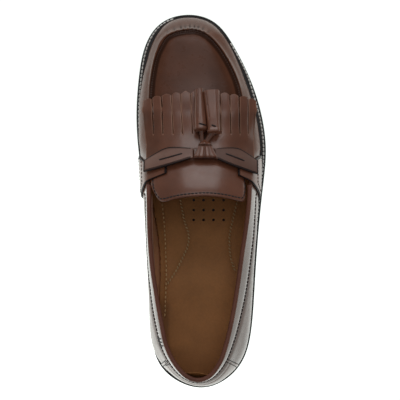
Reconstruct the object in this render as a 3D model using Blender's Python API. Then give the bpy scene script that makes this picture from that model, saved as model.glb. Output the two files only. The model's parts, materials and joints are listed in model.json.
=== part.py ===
"""Tassel loafer for the right foot: moccasin toe, fringed kiltie, flat bow and two tassels.

Metres in the scene, millimetres in the tables. +Z is up, the toe points to +Y, the lateral side
is +X, and the shoe stands on Z = 0 with the origin under the middle of its box.

Every leather piece is cut from one form. A ring runs round the shoe: turn 0 is the heel, turn 1
the toe, with the lateral side between them; from 1 to 2 it comes back along the medial side.
The wall rises from that ring to the collar and the apron seam, and an arch spans the two sides.
"""

import math
from collections import namedtuple

import bmesh
import bpy
import numpy as np
from mathutils import Vector

MM = 0.001

# Driving dimensions
SOLE_LENGTH = 303.0
BALL_WIDTH = 106.0
COLLAR_HEIGHT = 84.0
HEEL_HEIGHT = 20.0
TOE_SPRING = 7.0

# Thicknesses
GAP = 0.3
OUTSOLE = 5.0
WELT = 3.0
INSOLE = 6.0
UPPER_WALL = 2.2
TONGUE = 2.0
KILTIE = 1.2
STRAP = 1.4
BOW = 1.5
COUNTER = 0.8

# Where the pieces begin and end along the shoe, from the middle of its length
SEAT_END = 26.0
TREAD_START = 61.0
TREAD_END = 78.0
THROAT = 38.0
BINDING_FRONT = 12.5
SEAM_START = 88.0
SEAM_FULL = 100.0

RING_HALF = 36
ARCH_POWER = 2.4

# Sole: station as % of the length from the heel, half widths as % of the ball width
SoleStation = namedtuple("SoleStation", "name along medial lateral")
SOLE = (
    SoleStation("heel back", 0.0, 0.0, 0.0),
    SoleStation("heel curve", 1.9, 18.4, 17.2),
    SoleStation("heel side", 7.1, 33.2, 31.6),
    SoleStation("heel seat", 15.3, 37.2, 38.2),
    SoleStation("heel breast", 26.9, 35.0, 40.8),
    SoleStation("waist", 39.4, 35.8, 43.4),
    SoleStation("instep", 53.0, 43.7, 47.5),
    SoleStation("joint", 63.5, 48.4, 50.1),
    SoleStation("ball", 74.4, 49.9, 45.8),
    SoleStation("toe box", 84.0, 47.8, 36.4),
    SoleStation("toe curve", 92.1, 42.7, 24.3),
    SoleStation("toe corner", 97.5, 32.1, 12.5),
    SoleStation("toe tip", 100.0, 9.4, -9.4),
)

# Upper's foot on the welt, same stations; bulges are mm outwards of the foot (low) and the top (high)
FootStation = namedtuple("FootStation", "along medial lateral low_medial low_lateral")
FOOT = (
    FootStation(1.6, 0.0, 0.0, 0.8, 0.8),
    FootStation(3.4, 16.9, 15.8, 1.6, 1.0),
    FootStation(8.1, 30.4, 29.2, 5.5, 1.2),
    FootStation(15.3, 34.4, 35.3, 9.0, 1.5),
    FootStation(26.9, 32.5, 37.7, 10.5, 1.8),
    FootStation(39.4, 33.8, 39.9, 9.5, 1.8),
    FootStation(53.0, 41.0, 43.4, 5.5, 1.8),
    FootStation(63.5, 45.6, 44.3, 1.8, 1.6),
    FootStation(74.4, 47.2, 40.6, 1.4, 1.4),
    FootStation(84.0, 43.4, 32.8, 1.2, 1.2),
    FootStation(92.1, 38.2, 21.7, 1.2, 1.2),
    FootStation(97.1, 29.2, 10.8, 1.2, 1.2),
    FootStation(99.2, 9.4, -9.4, 1.2, 1.2),
)

# Upper's top line: collar at the rear, apron seam in front; height as % of the collar's height
TopStation = namedtuple("TopStation", "along medial lateral height high_medial high_lateral crown")
TOP = (
    TopStation(4.0, 2.3, -2.3, 100.0, 4.5, 4.5, 12.0),
    TopStation(5.6, 12.3, 7.4, 99.0, 5.0, 5.5, 12.0),
    TopStation(11.1, 23.1, 15.5, 95.8, 7.0, 8.0, 13.0),
    TopStation(17.7, 29.1, 21.5, 89.9, 8.0, 8.0, 14.0),
    TopStation(27.9, 35.7, 27.9, 81.0, 6.0, 7.0, 15.0),
    TopStation(39.8, 39.3, 33.4, 78.0, 4.5, 6.0, 16.0),
    TopStation(53.0, 40.1, 37.3, 79.2, 5.0, 6.5, 14.0),
    TopStation(63.5, 40.4, 35.8, 62.5, 6.5, 7.0, 11.5),
    TopStation(74.4, 39.3, 32.0, 52.4, 6.0, 6.5, 8.0),
    TopStation(82.7, 37.9, 26.5, 47.0, 4.0, 4.5, 4.5),
    TopStation(89.9, 33.4, 15.6, 42.9, 3.5, 3.5, 2.5),
    TopStation(93.7, 26.8, 5.8, 40.8, 3.5, 3.5, 1.0),
    TopStation(95.4, 8.2, -8.2, 39.9, 3.5, 3.5, 0.0),
)

LOW_SHARE = 0.36
HIGH_SHARE = 0.30

# Apron seam: a ridge on the seam line and a groove inside it
SEAM_RIDGE = 0.7
SEAM_GROOVE = 1.5
GROOVE_PLACE = 2.3
GROOVE_WIDTH = 1.6

# Shares of the wall's height and of the arch's width where the upper has its rows
WALL_ROWS = (0.0, 0.14, 0.32, 0.52, 0.72, 0.88, 1.0)
ARCH_ROWS = (0.0, 0.03, 0.065, 0.13, 0.24, 0.37, 0.5, 0.63, 0.76, 0.87, 0.935, 0.97, 1.0)

# Kiltie: fringe of equal strips, cut back to one slit line
STRIP_COUNT = 12
KILTIE_MEDIAL = -43.0
KILTIE_LATERAL = 41.5
KILTIE_REAR = 38.5
KILTIE_HOLLOW = 7.5
SLIT_ROOT = 52.0
SLIT_WIDTH = 0.8
FRINGE_TIP = 86.3
FRINGE_CURVE = 6.0
FRINGE_SPREAD = 1.03
FRINGE_LIFT = 1.3
TIP_ROUND = 2.0

# Bow wings in plan: front and rear edge at each place across the shoe
WingStation = namedtuple("WingStation", "across front rear")
WING_MEDIAL = (
    WingStation(-43.4, 30.2, 21.2),
    WingStation(-39.0, 33.0, 22.2),
    WingStation(-33.0, 36.8, 23.6),
    WingStation(-26.5, 40.6, 25.3),
    WingStation(-19.0, 40.5, 27.6),
    WingStation(-12.0, 39.9, 30.0),
    WingStation(-6.4, 39.4, 31.8),
)
WING_LATERAL = (
    WingStation(10.6, 39.2, 31.4),
    WingStation(16.5, 39.8, 28.8),
    WingStation(23.0, 40.2, 25.8),
    WingStation(28.5, 39.9, 24.0),
    WingStation(33.5, 36.6, 22.2),
    WingStation(38.5, 33.2, 20.6),
    WingStation(42.8, 30.2, 19.4),
)
BOW_LIFT = 2.3
BOW_CENTRE = 1.1
BOW_CENTRE_REAR = 31.6
BOW_CENTRE_FRONT = 39.6
BOW_MEDIAL = -6.1
BOW_LATERAL = 10.3

# Saddle straps: climb 0 to 1 is up the wall, 1 to 2 over the arch to the strap's end
StrapStation = namedtuple("StrapStation", "climb front rear")
STRAP_MEDIAL = (
    StrapStation(0.03, 36.0, 1.0),
    StrapStation(0.20, 36.0, 2.0),
    StrapStation(0.40, 36.0, 3.5),
    StrapStation(0.60, 35.0, 6.0),
    StrapStation(0.80, 33.0, 9.5),
    StrapStation(0.92, 31.0, 12.0),
    StrapStation(1.00, 29.8, 14.0),
    StrapStation(1.15, 29.2, 15.5),
    StrapStation(1.55, 28.5, 18.0),
    StrapStation(2.00, 28.0, 21.0),
)
STRAP_LATERAL = (
    StrapStation(0.03, 36.0, 0.0),
    StrapStation(0.20, 36.0, 1.5),
    StrapStation(0.40, 36.0, 3.5),
    StrapStation(0.60, 35.0, 6.5),
    StrapStation(0.80, 33.0, 9.5),
    StrapStation(0.92, 31.0, 11.8),
    StrapStation(1.00, 29.8, 13.5),
    StrapStation(1.15, 29.2, 15.0),
    StrapStation(1.55, 28.5, 17.0),
    StrapStation(2.00, 28.0, 19.5),
)
STRAP_LIFT = 0.45
STRAP_END_MEDIAL = -26.5
STRAP_END_LATERAL = 28.5

# Tongue in plan: sides at each place along the shoe, from its rear edge to its tucked front
TongueStation = namedtuple("TongueStation", "along medial lateral lift")
TONGUE_PLAN = (
    TongueStation(-1.8, -30.5, 33.5, -0.5),
    TongueStation(0.2, -34.2, 35.4, -0.5),
    TongueStation(4.0, -36.6, 35.9, -0.5),
    TongueStation(10.0, -38.0, 35.6, -0.5),
    TongueStation(18.0, -38.0, 34.8, -0.5),
    TongueStation(27.0, -37.6, 33.6, -0.6),
    TongueStation(32.5, -37.0, 32.6, -1.2),
    TongueStation(36.6, -36.6, 31.9, -2.8),
    TongueStation(42.0, -36.2, 31.4, -2.9),
    TongueStation(47.0, -35.8, 30.8, -2.9),
)
TONGUE_PEAK = 5.3

# Heel counter: share of the ring on each side, share of the wall's height
COUNTER_SIDE = 0.108
COUNTER_TOP = 0.70

# Collar binding's profile: out of the wall's face, and up from its edge
BindingPoint = namedtuple("BindingPoint", "out up")
BINDING = (
    BindingPoint(0.6, 0.0),
    BindingPoint(0.9, 1.3),
    BindingPoint(0.2, 2.6),
    BindingPoint(-1.1, 3.1),
    BindingPoint(-2.4, 2.6),
    BindingPoint(-3.1, 1.3),
    BindingPoint(-2.8, 0.0),
)

# Knot, thongs and tassels
KNOT_MEDIAL = -1.6
KNOT_LATERAL = 7.2
KNOT_REAR = 31.0
KNOT_FRONT = 45.6
KNOT_LIFT = 3.9
KNOT_FRONT_LIFT = 2.1
KNOT_THICK = 2.6
THONG_RADIUS = 1.7
THONG_FLAT = 0.55
THONG_CLEAR = 1.3
THONG_END = 1.7
TASSEL_RADIUS = 4.5
TASSEL_CAP = 9.5
TASSEL_STRIPS = 9
TasselPlace = namedtuple("TasselPlace", "side rear_across rear_along tip_across tip_along skirt knot_across")
TASSELS = (
    TasselPlace("medial", 0.1, 51.8, -2.2, 86.0, 4.4, 0.4),
    TasselPlace("lateral", 9.7, 49.8, 8.2, 84.4, 5.3, 4.9),
)

# Finishes: colour, roughness
Finish = namedtuple("Finish", "colour roughness")
APRON_BROWN = Finish((0.085, 0.032, 0.024), 0.34)
OVERLAY_BROWN = Finish((0.125, 0.062, 0.044), 0.36)
BINDING_BROWN = Finish((0.090, 0.036, 0.028), 0.42)
FOOTBED_TAN = Finish((0.125, 0.058, 0.022), 0.55)
WELT_BROWN = Finish((0.035, 0.022, 0.018), 0.50)
SOLE_BLACK = Finish((0.012, 0.011, 0.011), 0.55)


class RingCurve:
    """One column of a table as a smooth closed curve round the shoe (periodic cubic spline)."""

    def __init__(self, places, lateral, medial):
        knots = list(places) + [2.0 - place for place in reversed(places[1:-1])]
        values = list(lateral) + list(reversed(medial[1:-1]))
        self.knots = np.array(knots + [2.0])
        self.values = np.array(values + [lateral[0]], dtype=float)
        self.bends = self._solve()

    def _solve(self):
        count = len(self.knots) - 1
        steps = np.diff(self.knots)
        slopes = np.diff(self.values) / steps
        matrix = np.zeros((count, count))
        right = np.zeros(count)
        for row in range(count):
            before = steps[row - 1]
            after = steps[row]
            matrix[row, row - 1] += before
            matrix[row, row] += 2.0 * (before + after)
            matrix[row, (row + 1) % count] += after
            right[row] = 6.0 * (slopes[row] - slopes[row - 1])
        bends = np.linalg.solve(matrix, right)
        return np.append(bends, bends[0])

    def __call__(self, turn):
        turn = np.mod(turn, 2.0)
        span = np.clip(np.searchsorted(self.knots, turn, side="right") - 1, 0, len(self.knots) - 2)
        step = self.knots[span + 1] - self.knots[span]
        after = (turn - self.knots[span]) / step
        before = 1.0 - after
        curve = (before ** 3 - before) * self.bends[span] + (after ** 3 - after) * self.bends[span + 1]
        return before * self.values[span] + after * self.values[span + 1] + curve * step * step / 6.0


def length_at(percent):
    """Place along the shoe, from the middle of its length, of a percentage from the heel."""
    return (percent / 100.0 - 0.5) * SOLE_LENGTH


def width_at(percent):
    return percent / 100.0 * BALL_WIDTH


def ring_places(rows):
    """Share of the way round from heel to toe of each station, by the mean of both sides."""
    places = [0.0]
    for low, high in zip(rows, rows[1:]):
        along = length_at(high.along) - length_at(low.along)
        medial = math.hypot(along, width_at(high.medial - low.medial))
        lateral = math.hypot(along, width_at(high.lateral - low.lateral))
        places.append(places[-1] + (medial + lateral) / 2.0)
    return [place / places[-1] for place in places]


PLACES = ring_places(SOLE)


def column(rows, lateral, medial):
    return RingCurve(PLACES, [lateral(row) for row in rows], [medial(row) for row in rows])


def plan_columns(rows):
    """Curves of x and y round the ring for a table with along, medial and lateral."""
    across = column(rows, lambda row: width_at(row.lateral), lambda row: -width_at(row.medial))
    along = column(rows, lambda row: length_at(row.along), lambda row: length_at(row.along))
    return across, along


SOLE_X, SOLE_Y = plan_columns(SOLE)
FOOT_X, FOOT_Y = plan_columns(FOOT)
TOP_X, TOP_Y = plan_columns(TOP)
LOW_BULGE = column(FOOT, lambda row: row.low_lateral, lambda row: row.low_medial)
HIGH_BULGE = column(TOP, lambda row: row.high_lateral, lambda row: row.high_medial)
TOP_HEIGHT = column(TOP, lambda row: row.height, lambda row: row.height)
CROWN = column(TOP, lambda row: row.crown, lambda row: row.crown)


def top_z(turn):
    """Height of the top line round the ring."""
    return TOP_HEIGHT(turn) * COLLAR_HEIGHT / 100.0


def smooth(share):
    share = np.clip(share, 0.0, 1.0)
    return share * share * (3.0 - 2.0 * share)


def sole_bottom(along):
    """Height of the outsole's underside: flat heel seat, arch, flat tread and toe spring."""
    percent = (np.asarray(along) / SOLE_LENGTH + 0.5) * 100.0
    arch = HEEL_HEIGHT * (1.0 - smooth((percent - SEAT_END) / (TREAD_START - SEAT_END)))
    spring = TOE_SPRING * np.clip((percent - TREAD_END) / (100.0 - TREAD_END), 0.0, None) ** 1.8
    return np.where(percent < TREAD_START, arch, spring)


def sole_top(along):
    return sole_bottom(along) + OUTSOLE


def welt_top(along):
    return sole_top(along) + GAP + WELT


def outward(across, along, turn):
    """Level unit direction out of a plan curve at a turn."""
    step = 0.002
    run_x = across(turn + step) - across(turn - step)
    run_y = along(turn + step) - along(turn - step)
    size = np.hypot(run_x, run_y)
    return run_y / size, -run_x / size


def outline(across, along, turn, inset):
    """Plan points of a ring, moved inwards by an inset."""
    out_x, out_y = outward(across, along, turn)
    return across(turn) - out_x * inset, along(turn) - out_y * inset


def wall_controls(turn):
    out_x, out_y = outward(FOOT_X, FOOT_Y, turn)
    foot = np.stack([FOOT_X(turn), FOOT_Y(turn), welt_top(FOOT_Y(turn)) + GAP], axis=-1)
    top = np.stack([TOP_X(turn), TOP_Y(turn), top_z(turn)], axis=-1)
    out = np.stack([out_x, out_y, np.zeros_like(out_x)], axis=-1)
    up = np.zeros_like(out)
    up[..., 2] = top[..., 2] - foot[..., 2]
    low = foot + out * LOW_BULGE(turn)[..., None] + up * LOW_SHARE
    high = top + out * HIGH_BULGE(turn)[..., None] - up * HIGH_SHARE
    return foot, low, high, top


def wall_point(turn, rise):
    """Outer face of the wall at a turn, from the welt (rise 0) to the top line (rise 1)."""
    foot, low, high, top = wall_controls(np.asarray(turn, dtype=float))
    rise = np.asarray(rise, dtype=float)[..., None]
    fall = 1.0 - rise
    return fall ** 3 * foot + 3.0 * fall ** 2 * rise * low + 3.0 * fall * rise ** 2 * high + rise ** 3 * top


def wall_normal(turn, rise):
    round_step = wall_point(turn + 0.002, rise) - wall_point(turn - 0.002, rise)
    above = wall_point(turn, np.minimum(rise + 0.01, 1.0))
    below = wall_point(turn, np.maximum(rise - 0.01, 0.0))
    normal = np.cross(round_step, above - below)
    return normal / np.linalg.norm(normal, axis=-1, keepdims=True)


def arch_point(half, share):
    """Arch between the two top lines at one half turn; shares outside 0 to 1 run on past the seams."""
    half = np.asarray(half, dtype=float)
    share = np.asarray(share, dtype=float)[..., None]
    lateral = np.stack([TOP_X(half), TOP_Y(half), top_z(half)], axis=-1)
    medial = np.stack([TOP_X(2.0 - half), TOP_Y(2.0 - half), top_z(2.0 - half)], axis=-1)
    point = medial + (lateral - medial) * share
    rise = CROWN(half) * (1.0 - np.abs(2.0 * share[..., 0] - 1.0) ** ARCH_POWER)
    point[..., 2] += rise
    return point


HALF_TURNS = np.linspace(0.02, 0.98, 193)
HALF_ALONG = (TOP_Y(HALF_TURNS) + TOP_Y(2.0 - HALF_TURNS)) / 2.0


def half_at(along):
    return np.interp(along, HALF_ALONG, HALF_TURNS)


def body_point(across, along):
    """Point of the arch at a place in plan."""
    half = half_at(along)
    medial = TOP_X(2.0 - half)
    lateral = TOP_X(half)
    return arch_point(half, (across - medial) / (lateral - medial))


def body_lift(across, along, lift):
    """Point at a height above the arch, square to it."""
    across = np.asarray(across, dtype=float)
    along = np.asarray(along, dtype=float)
    side = body_point(across + 1.0, along) - body_point(across - 1.0, along)
    ahead = body_point(across, along + 1.0) - body_point(across, along - 1.0)
    normal = np.cross(side, ahead)
    normal /= np.linalg.norm(normal, axis=-1, keepdims=True)
    return body_point(across, along) + normal * np.asarray(lift, dtype=float)[..., None]


SEAM_LINE = np.stack([TOP_X(np.linspace(0.5, 1.5, 400)), TOP_Y(np.linspace(0.5, 1.5, 400))], axis=-1)


def seam_relief(point):
    """Height that the apron seam adds to the arch: a ridge on the line and a groove inside it."""
    distance = np.min(np.hypot(SEAM_LINE[:, 0] - point[0], SEAM_LINE[:, 1] - point[1]))
    shown = smooth((point[1] - SEAM_START) / (SEAM_FULL - SEAM_START))
    ridge = SEAM_RIDGE * math.exp(-((distance / 1.0) ** 2))
    groove = SEAM_GROOVE * math.exp(-(((distance - GROOVE_PLACE) / GROOVE_WIDTH) ** 2))
    return shown * (ridge - groove)


def material(name, finish):
    made = bpy.data.materials.new(name)
    made.use_nodes = True
    shader = made.node_tree.nodes["Principled BSDF"]
    shader.inputs["Base Color"].default_value = (*finish.colour, 1.0)
    shader.inputs["Roughness"].default_value = finish.roughness
    shader.inputs["Metallic"].default_value = 0.0
    made.diffuse_color = (*finish.colour, 1.0)
    return made


def add_object(name, mesh_data, finish):
    """Object from a bmesh in millimetres."""
    bmesh.ops.scale(mesh_data, vec=(MM, MM, MM), verts=mesh_data.verts)
    mesh = bpy.data.meshes.new(name)
    mesh_data.to_mesh(mesh)
    mesh_data.free()
    made = bpy.data.objects.new(name, mesh)
    bpy.context.scene.collection.objects.link(made)
    mesh.materials.append(material(name + "_finish", finish))
    return made


def thicken(made, thickness, side):
    """Give a sheet its thickness: side 1 outwards, side -1 inwards."""
    solid = made.modifiers.new("thickness", "SOLIDIFY")
    solid.thickness = thickness * MM
    solid.offset = side
    solid.use_even_offset = True
    solid.use_quality_normals = True


def sheet(points, keep=None):
    """bmesh of a grid of points, facing up or out; keep picks the cells that are leather."""
    rows, columns = points.shape[:2]
    data = bmesh.new()
    verts = {}

    def vert(row, place):
        if (row, place) not in verts:
            verts[row, place] = data.verts.new(points[row, place])
        return verts[row, place]

    for row in range(rows - 1):
        for place in range(columns - 1):
            if keep is None or keep[row][place]:
                corners = ((row, place), (row, place + 1), (row + 1, place + 1), (row + 1, place))
                data.faces.new([vert(*corner) for corner in corners])
    return data


def loft(rings, closed):
    """bmesh through rings of points; the ends are capped, or joined when closed."""
    data = bmesh.new()
    loops = [[data.verts.new(point) for point in ring] for ring in rings]
    count = len(loops[0])
    pairs = list(zip(loops, loops[1:]))
    if closed:
        pairs.append((loops[-1], loops[0]))
    for low, high in pairs:
        for place in range(count):
            after = (place + 1) % count
            data.faces.new((low[place], low[after], high[after], high[place]))
    if not closed:
        data.faces.new(list(reversed(loops[0])))
        data.faces.new(loops[-1])
    bmesh.ops.recalc_face_normals(data, faces=data.faces)
    return data


RING_TURNS = np.arange(2 * RING_HALF) / RING_HALF


def plate(rings):
    """bmesh of a sole layer: rings from bottom to top, its two faces bridged side to side."""
    data = bmesh.new()
    loops = [[data.verts.new(point) for point in ring] for ring in rings]
    count = len(loops[0])
    for low, high in zip(loops, loops[1:]):
        for place in range(count):
            after = (place + 1) % count
            data.faces.new((low[place], low[after], high[after], high[place]))
    for loop in (loops[0], loops[-1]):
        for place in range(RING_HALF):
            across = (count - place) % count
            corners = (loop[place], loop[place + 1], loop[(across - 1) % count], loop[across])
            data.faces.new(list(dict.fromkeys(corners)))
    bmesh.ops.recalc_face_normals(data, faces=data.faces)
    return data


def ring_at(across, along, inset, height):
    """Ring of points of an outline at a height that depends on the place along the shoe."""
    plan_x, plan_y = outline(across, along, RING_TURNS, inset)
    return np.stack([plan_x, plan_y, height(plan_y)], axis=-1)


def build_outsole():
    rings = (
        ring_at(SOLE_X, SOLE_Y, 1.2, sole_bottom),
        ring_at(SOLE_X, SOLE_Y, 0.2, lambda along: sole_bottom(along) + 1.0),
        ring_at(SOLE_X, SOLE_Y, 0.0, lambda along: sole_bottom(along) + 2.4),
        ring_at(SOLE_X, SOLE_Y, 0.0, lambda along: sole_top(along) - 0.7),
        ring_at(SOLE_X, SOLE_Y, 0.7, sole_top),
    )
    add_object("outsole", plate(rings), SOLE_BLACK)


def build_heel():
    """Heel block: the sole's outline behind the breast line, a little smaller at the floor."""
    breast = length_at(SEAT_END - 1.0)
    turns = RING_TURNS[SOLE_Y(RING_TURNS) < breast - 4.0]
    turns = np.concatenate([turns[turns > 1.0], turns[turns < 1.0]])
    rings = []
    for inset, height in ((2.6, 0.0), (1.8, 0.8), (0.9, 12.0), (0.6, HEEL_HEIGHT - GAP)):
        plan_x, plan_y = outline(SOLE_X, SOLE_Y, turns, inset)
        ring = [(x, y, height) for x, y in zip(plan_x, plan_y)]
        lean = breast - 3.0 * (1.0 - height / HEEL_HEIGHT)
        for share in np.linspace(1.0, 0.0, 7):
            hollow = 5.0 * (1.0 - (2.0 * share - 1.0) ** 2)
            ring.append((plan_x[0] + (plan_x[-1] - plan_x[0]) * share, lean - hollow, height))
        rings.append(ring)
    add_object("heel", loft(rings, closed=False), SOLE_BLACK)


def build_welt():
    rings = (
        ring_at(FOOT_X, FOOT_Y, UPPER_WALL, lambda along: sole_top(along) + GAP),
        ring_at(SOLE_X, SOLE_Y, 0.6, lambda along: sole_top(along) + GAP),
        ring_at(SOLE_X, SOLE_Y, 0.3, lambda along: sole_top(along) + GAP + 0.8),
        ring_at(SOLE_X, SOLE_Y, 0.4, lambda along: welt_top(along) - 0.6),
        ring_at(SOLE_X, SOLE_Y, 0.9, welt_top),
        ring_at(FOOT_X, FOOT_Y, UPPER_WALL, welt_top),
    )
    add_object("welt", loft(rings, closed=True), WELT_BROWN)


def build_insole():
    inset = UPPER_WALL + GAP + 0.3
    rings = (
        ring_at(FOOT_X, FOOT_Y, inset, lambda along: sole_top(along) + GAP),
        ring_at(FOOT_X, FOOT_Y, inset, lambda along: sole_top(along) + GAP + INSOLE - 1.2),
        ring_at(FOOT_X, FOOT_Y, inset + 1.2, lambda along: sole_top(along) + GAP + INSOLE),
    )
    add_object("insole", plate(rings), FOOTBED_TAN)


def build_upper():
    """Wall all round and the apron over the toe as one sheet, thickened inwards."""
    data = bmesh.new()
    wall = []
    for rise in WALL_ROWS:
        points = wall_point(RING_TURNS, np.full_like(RING_TURNS, rise))
        if rise == 1.0:
            points[:, 2] += [seam_relief(point) for point in points]
        wall.append([data.verts.new(point) for point in points])
    count = len(RING_TURNS)
    for low, high in zip(wall, wall[1:]):
        for place in range(count):
            after = (place + 1) % count
            data.faces.new((low[place], low[after], high[after], high[place]))
    throat = int(np.searchsorted(TOP_Y(RING_TURNS[:RING_HALF]), THROAT))
    shares = np.array(ARCH_ROWS)
    rows = []
    for place in range(throat, RING_HALF):
        points = arch_point(np.full_like(shares, RING_TURNS[place]), shares)
        points[:, 2] += [seam_relief(point) for point in points]
        inner = [data.verts.new(point) for point in points[1:-1]]
        rows.append([wall[-1][count - place]] + inner + [wall[-1][place]])
    for low, high in zip(rows, rows[1:]):
        for place in range(len(shares) - 1):
            data.faces.new((low[place], low[place + 1], high[place + 1], high[place]))
    tip = wall[-1][RING_HALF]
    for left, right in zip(rows[-1], rows[-1][1:]):
        data.faces.new((left, right, tip))
    thicken(add_object("upper", data, APRON_BROWN), UPPER_WALL, -1)


def build_binding():
    """Rolled edge swept along the collar, from strap to strap round the heel."""
    front = float(np.interp(BINDING_FRONT, TOP_Y(RING_TURNS[:RING_HALF]), RING_TURNS[:RING_HALF]))
    turns = np.linspace(-front, front, 45)
    top = wall_point(turns, np.ones_like(turns))
    out = wall_normal(turns, np.ones_like(turns))
    up = top - wall_point(turns, np.full_like(turns, 0.95))
    up /= np.linalg.norm(up, axis=-1, keepdims=True)
    rings = []
    for edge, away, rise in zip(top, out, up):
        rings.append([edge + away * point.out + rise * (point.up + GAP) for point in BINDING])
    add_object("collar_binding", loft(rings, closed=False), BINDING_BROWN)


def build_counter():
    turns = np.linspace(-COUNTER_SIDE, COUNTER_SIDE, 15)
    rises = np.linspace(0.04, 1.0, 6)
    rows = []
    for rise in rises:
        height = np.full_like(turns, rise * COUNTER_TOP)
        rows.append(wall_point(turns, height) + wall_normal(turns, height) * (GAP + 0.1))
    thicken(add_object("heel_counter", sheet(np.array(rows)), APRON_BROWN), COUNTER, 1)


def build_tongue():
    """Padded flap: its rear edge stands free, its front is tucked under the apron."""
    rows = []
    for station in TONGUE_PLAN:
        shares = np.linspace(0.0, 1.0, 13)
        across = station.medial + (station.lateral - station.medial) * shares
        rear = max(0.0, 1.0 - (station.along - TONGUE_PLAN[0].along) / 14.0)
        along = station.along + TONGUE_PEAK * rear * (1.0 - (2.0 * shares - 1.0) ** 2)
        rows.append(body_lift(across, along, np.full_like(shares, station.lift)))
    thicken(add_object("tongue", sheet(np.array(rows)), OVERLAY_BROWN), TONGUE, -1)


def build_kiltie():
    """Fringed flap: one root band, then strips with slits between them."""
    pitch = (KILTIE_LATERAL - KILTIE_MEDIAL) / STRIP_COUNT
    across = []
    rounding = []
    for strip in range(STRIP_COUNT):
        left = KILTIE_MEDIAL + pitch * strip + SLIT_WIDTH / 2.0
        right = left + pitch - SLIT_WIDTH
        across += [left, (left + right) / 2.0, right]
        rounding += [TIP_ROUND, 0.0, TIP_ROUND]
    across = np.array(across)
    rounding = np.array(rounding)
    middle = (KILTIE_MEDIAL + KILTIE_LATERAL) / 2.0
    shape = ((across - middle) / (KILTIE_LATERAL - middle)) ** 2
    tips = FRINGE_TIP - FRINGE_CURVE * shape
    rear = KILTIE_REAR - KILTIE_HOLLOW * shape
    rows = []
    for share in (0.0, 0.5, 1.0):
        rows.append((rear + (SLIT_ROOT - rear) * share, 0.0))
    for share in (0.2, 0.4, 0.6, 0.8, 0.93, 1.0):
        rows.append((SLIT_ROOT + (tips - SLIT_ROOT - (rounding if share == 1.0 else 0.0)) * share, share))
    points = []
    for along, share in rows:
        spread = middle + (across - middle) * (1.0 + (FRINGE_SPREAD - 1.0) * share)
        lift = GAP + 0.1 + FRINGE_LIFT * smooth(share * 1.6)
        points.append(body_lift(spread, along, np.full_like(across, lift)))
    keep = [[row < 2 or place % 3 != 2 for place in range(len(across) - 1)] for row in range(len(rows) - 1)]
    thicken(add_object("kiltie", sheet(np.array(points), keep), OVERLAY_BROWN), KILTIE, 1)


def build_wing(name, stations):
    columns = []
    for station in stations:
        along = np.linspace(station.rear, station.front, 5)
        across = np.full_like(along, station.across)
        columns.append(body_lift(across, along, np.full_like(along, BOW_LIFT)))
    points = np.array(columns).transpose(1, 0, 2)
    thicken(add_object(name, sheet(points), OVERLAY_BROWN), BOW, 1)


def build_bow_centre():
    rows = []
    for along in np.linspace(BOW_CENTRE_REAR, BOW_CENTRE_FRONT, 4):
        across = np.linspace(BOW_MEDIAL, BOW_LATERAL, 6)
        rows.append(body_lift(across, np.full_like(across, along), np.full_like(across, BOW_LIFT)))
    thicken(add_object("bow_centre", sheet(np.array(rows)), OVERLAY_BROWN), BOW_CENTRE, 1)


def strap_place(along, climb, side, end):
    """Place on the wall or the arch for a strap; side is 1 for lateral and -1 for medial."""
    half = float(half_at(along))
    turn = half if side > 0 else 2.0 - half
    if climb <= 1.0:
        return wall_point(turn, climb)
    start = float(TOP_X(turn))
    return body_point(start + (end - start) * (climb - 1.0), along)


def strap_point(along, climb, side, end):
    ahead = strap_place(along + 1.0, climb, side, end) - strap_place(along - 1.0, climb, side, end)
    rise = strap_place(along, climb + 0.05, side, end) - strap_place(along, max(climb - 0.05, 0.0), side, end)
    normal = np.cross(ahead, rise) * side
    return strap_place(along, climb, side, end) + normal / np.linalg.norm(normal) * STRAP_LIFT


def build_strap(name, stations, side, end):
    """Strap that climbs the wall from the welt and runs on over the arch to its end."""
    rows = []
    for station in stations:
        edges = (station.rear, station.front) if side > 0 else (station.front, station.rear)
        rows.append([strap_point(along, station.climb, side, end) for along in np.linspace(*edges, 7)])
    thicken(add_object(name, sheet(np.array(rows)), OVERLAY_BROWN), STRAP, 1)


def build_knot():
    """Folded wrap over the bow's centre; its front end comes down to the kiltie."""
    rows = []
    for along in np.linspace(KNOT_REAR, KNOT_FRONT, 9):
        across = np.linspace(KNOT_MEDIAL, KNOT_LATERAL, 7)
        narrow = 1.0 - 0.45 * smooth((along - BOW_CENTRE_FRONT - 0.6) / (KNOT_FRONT - BOW_CENTRE_FRONT))
        middle = (KNOT_MEDIAL + KNOT_LATERAL) / 2.0
        down = smooth((along - BOW_CENTRE_FRONT - 0.8) / 4.0)
        lift = np.full_like(across, KNOT_LIFT + (KNOT_FRONT_LIFT - KNOT_LIFT) * down)
        rows.append(body_lift(middle + (across - middle) * narrow, np.full_like(across, along), lift))
    thicken(add_object("tassel_knot", sheet(np.array(rows)), OVERLAY_BROWN), KNOT_THICK, 1)


def tube(start, end, profile, flat=1.0):
    """bmesh of a body of round or flattened sections along a straight axis, from shares and radii."""
    axis = Vector(end) - Vector(start)
    turn = axis.to_track_quat("Z", "Y")
    rings = []
    for share, radii in profile:
        centre = Vector(start) + axis * share
        ring = []
        for place, radius in enumerate(radii):
            angle = 2.0 * math.pi * place / len(radii)
            spoke = Vector((radius * math.cos(angle), radius * flat * math.sin(angle), 0.0))
            ring.append(centre + turn @ spoke)
        rings.append(ring)
    return loft(rings, closed=False)


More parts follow.
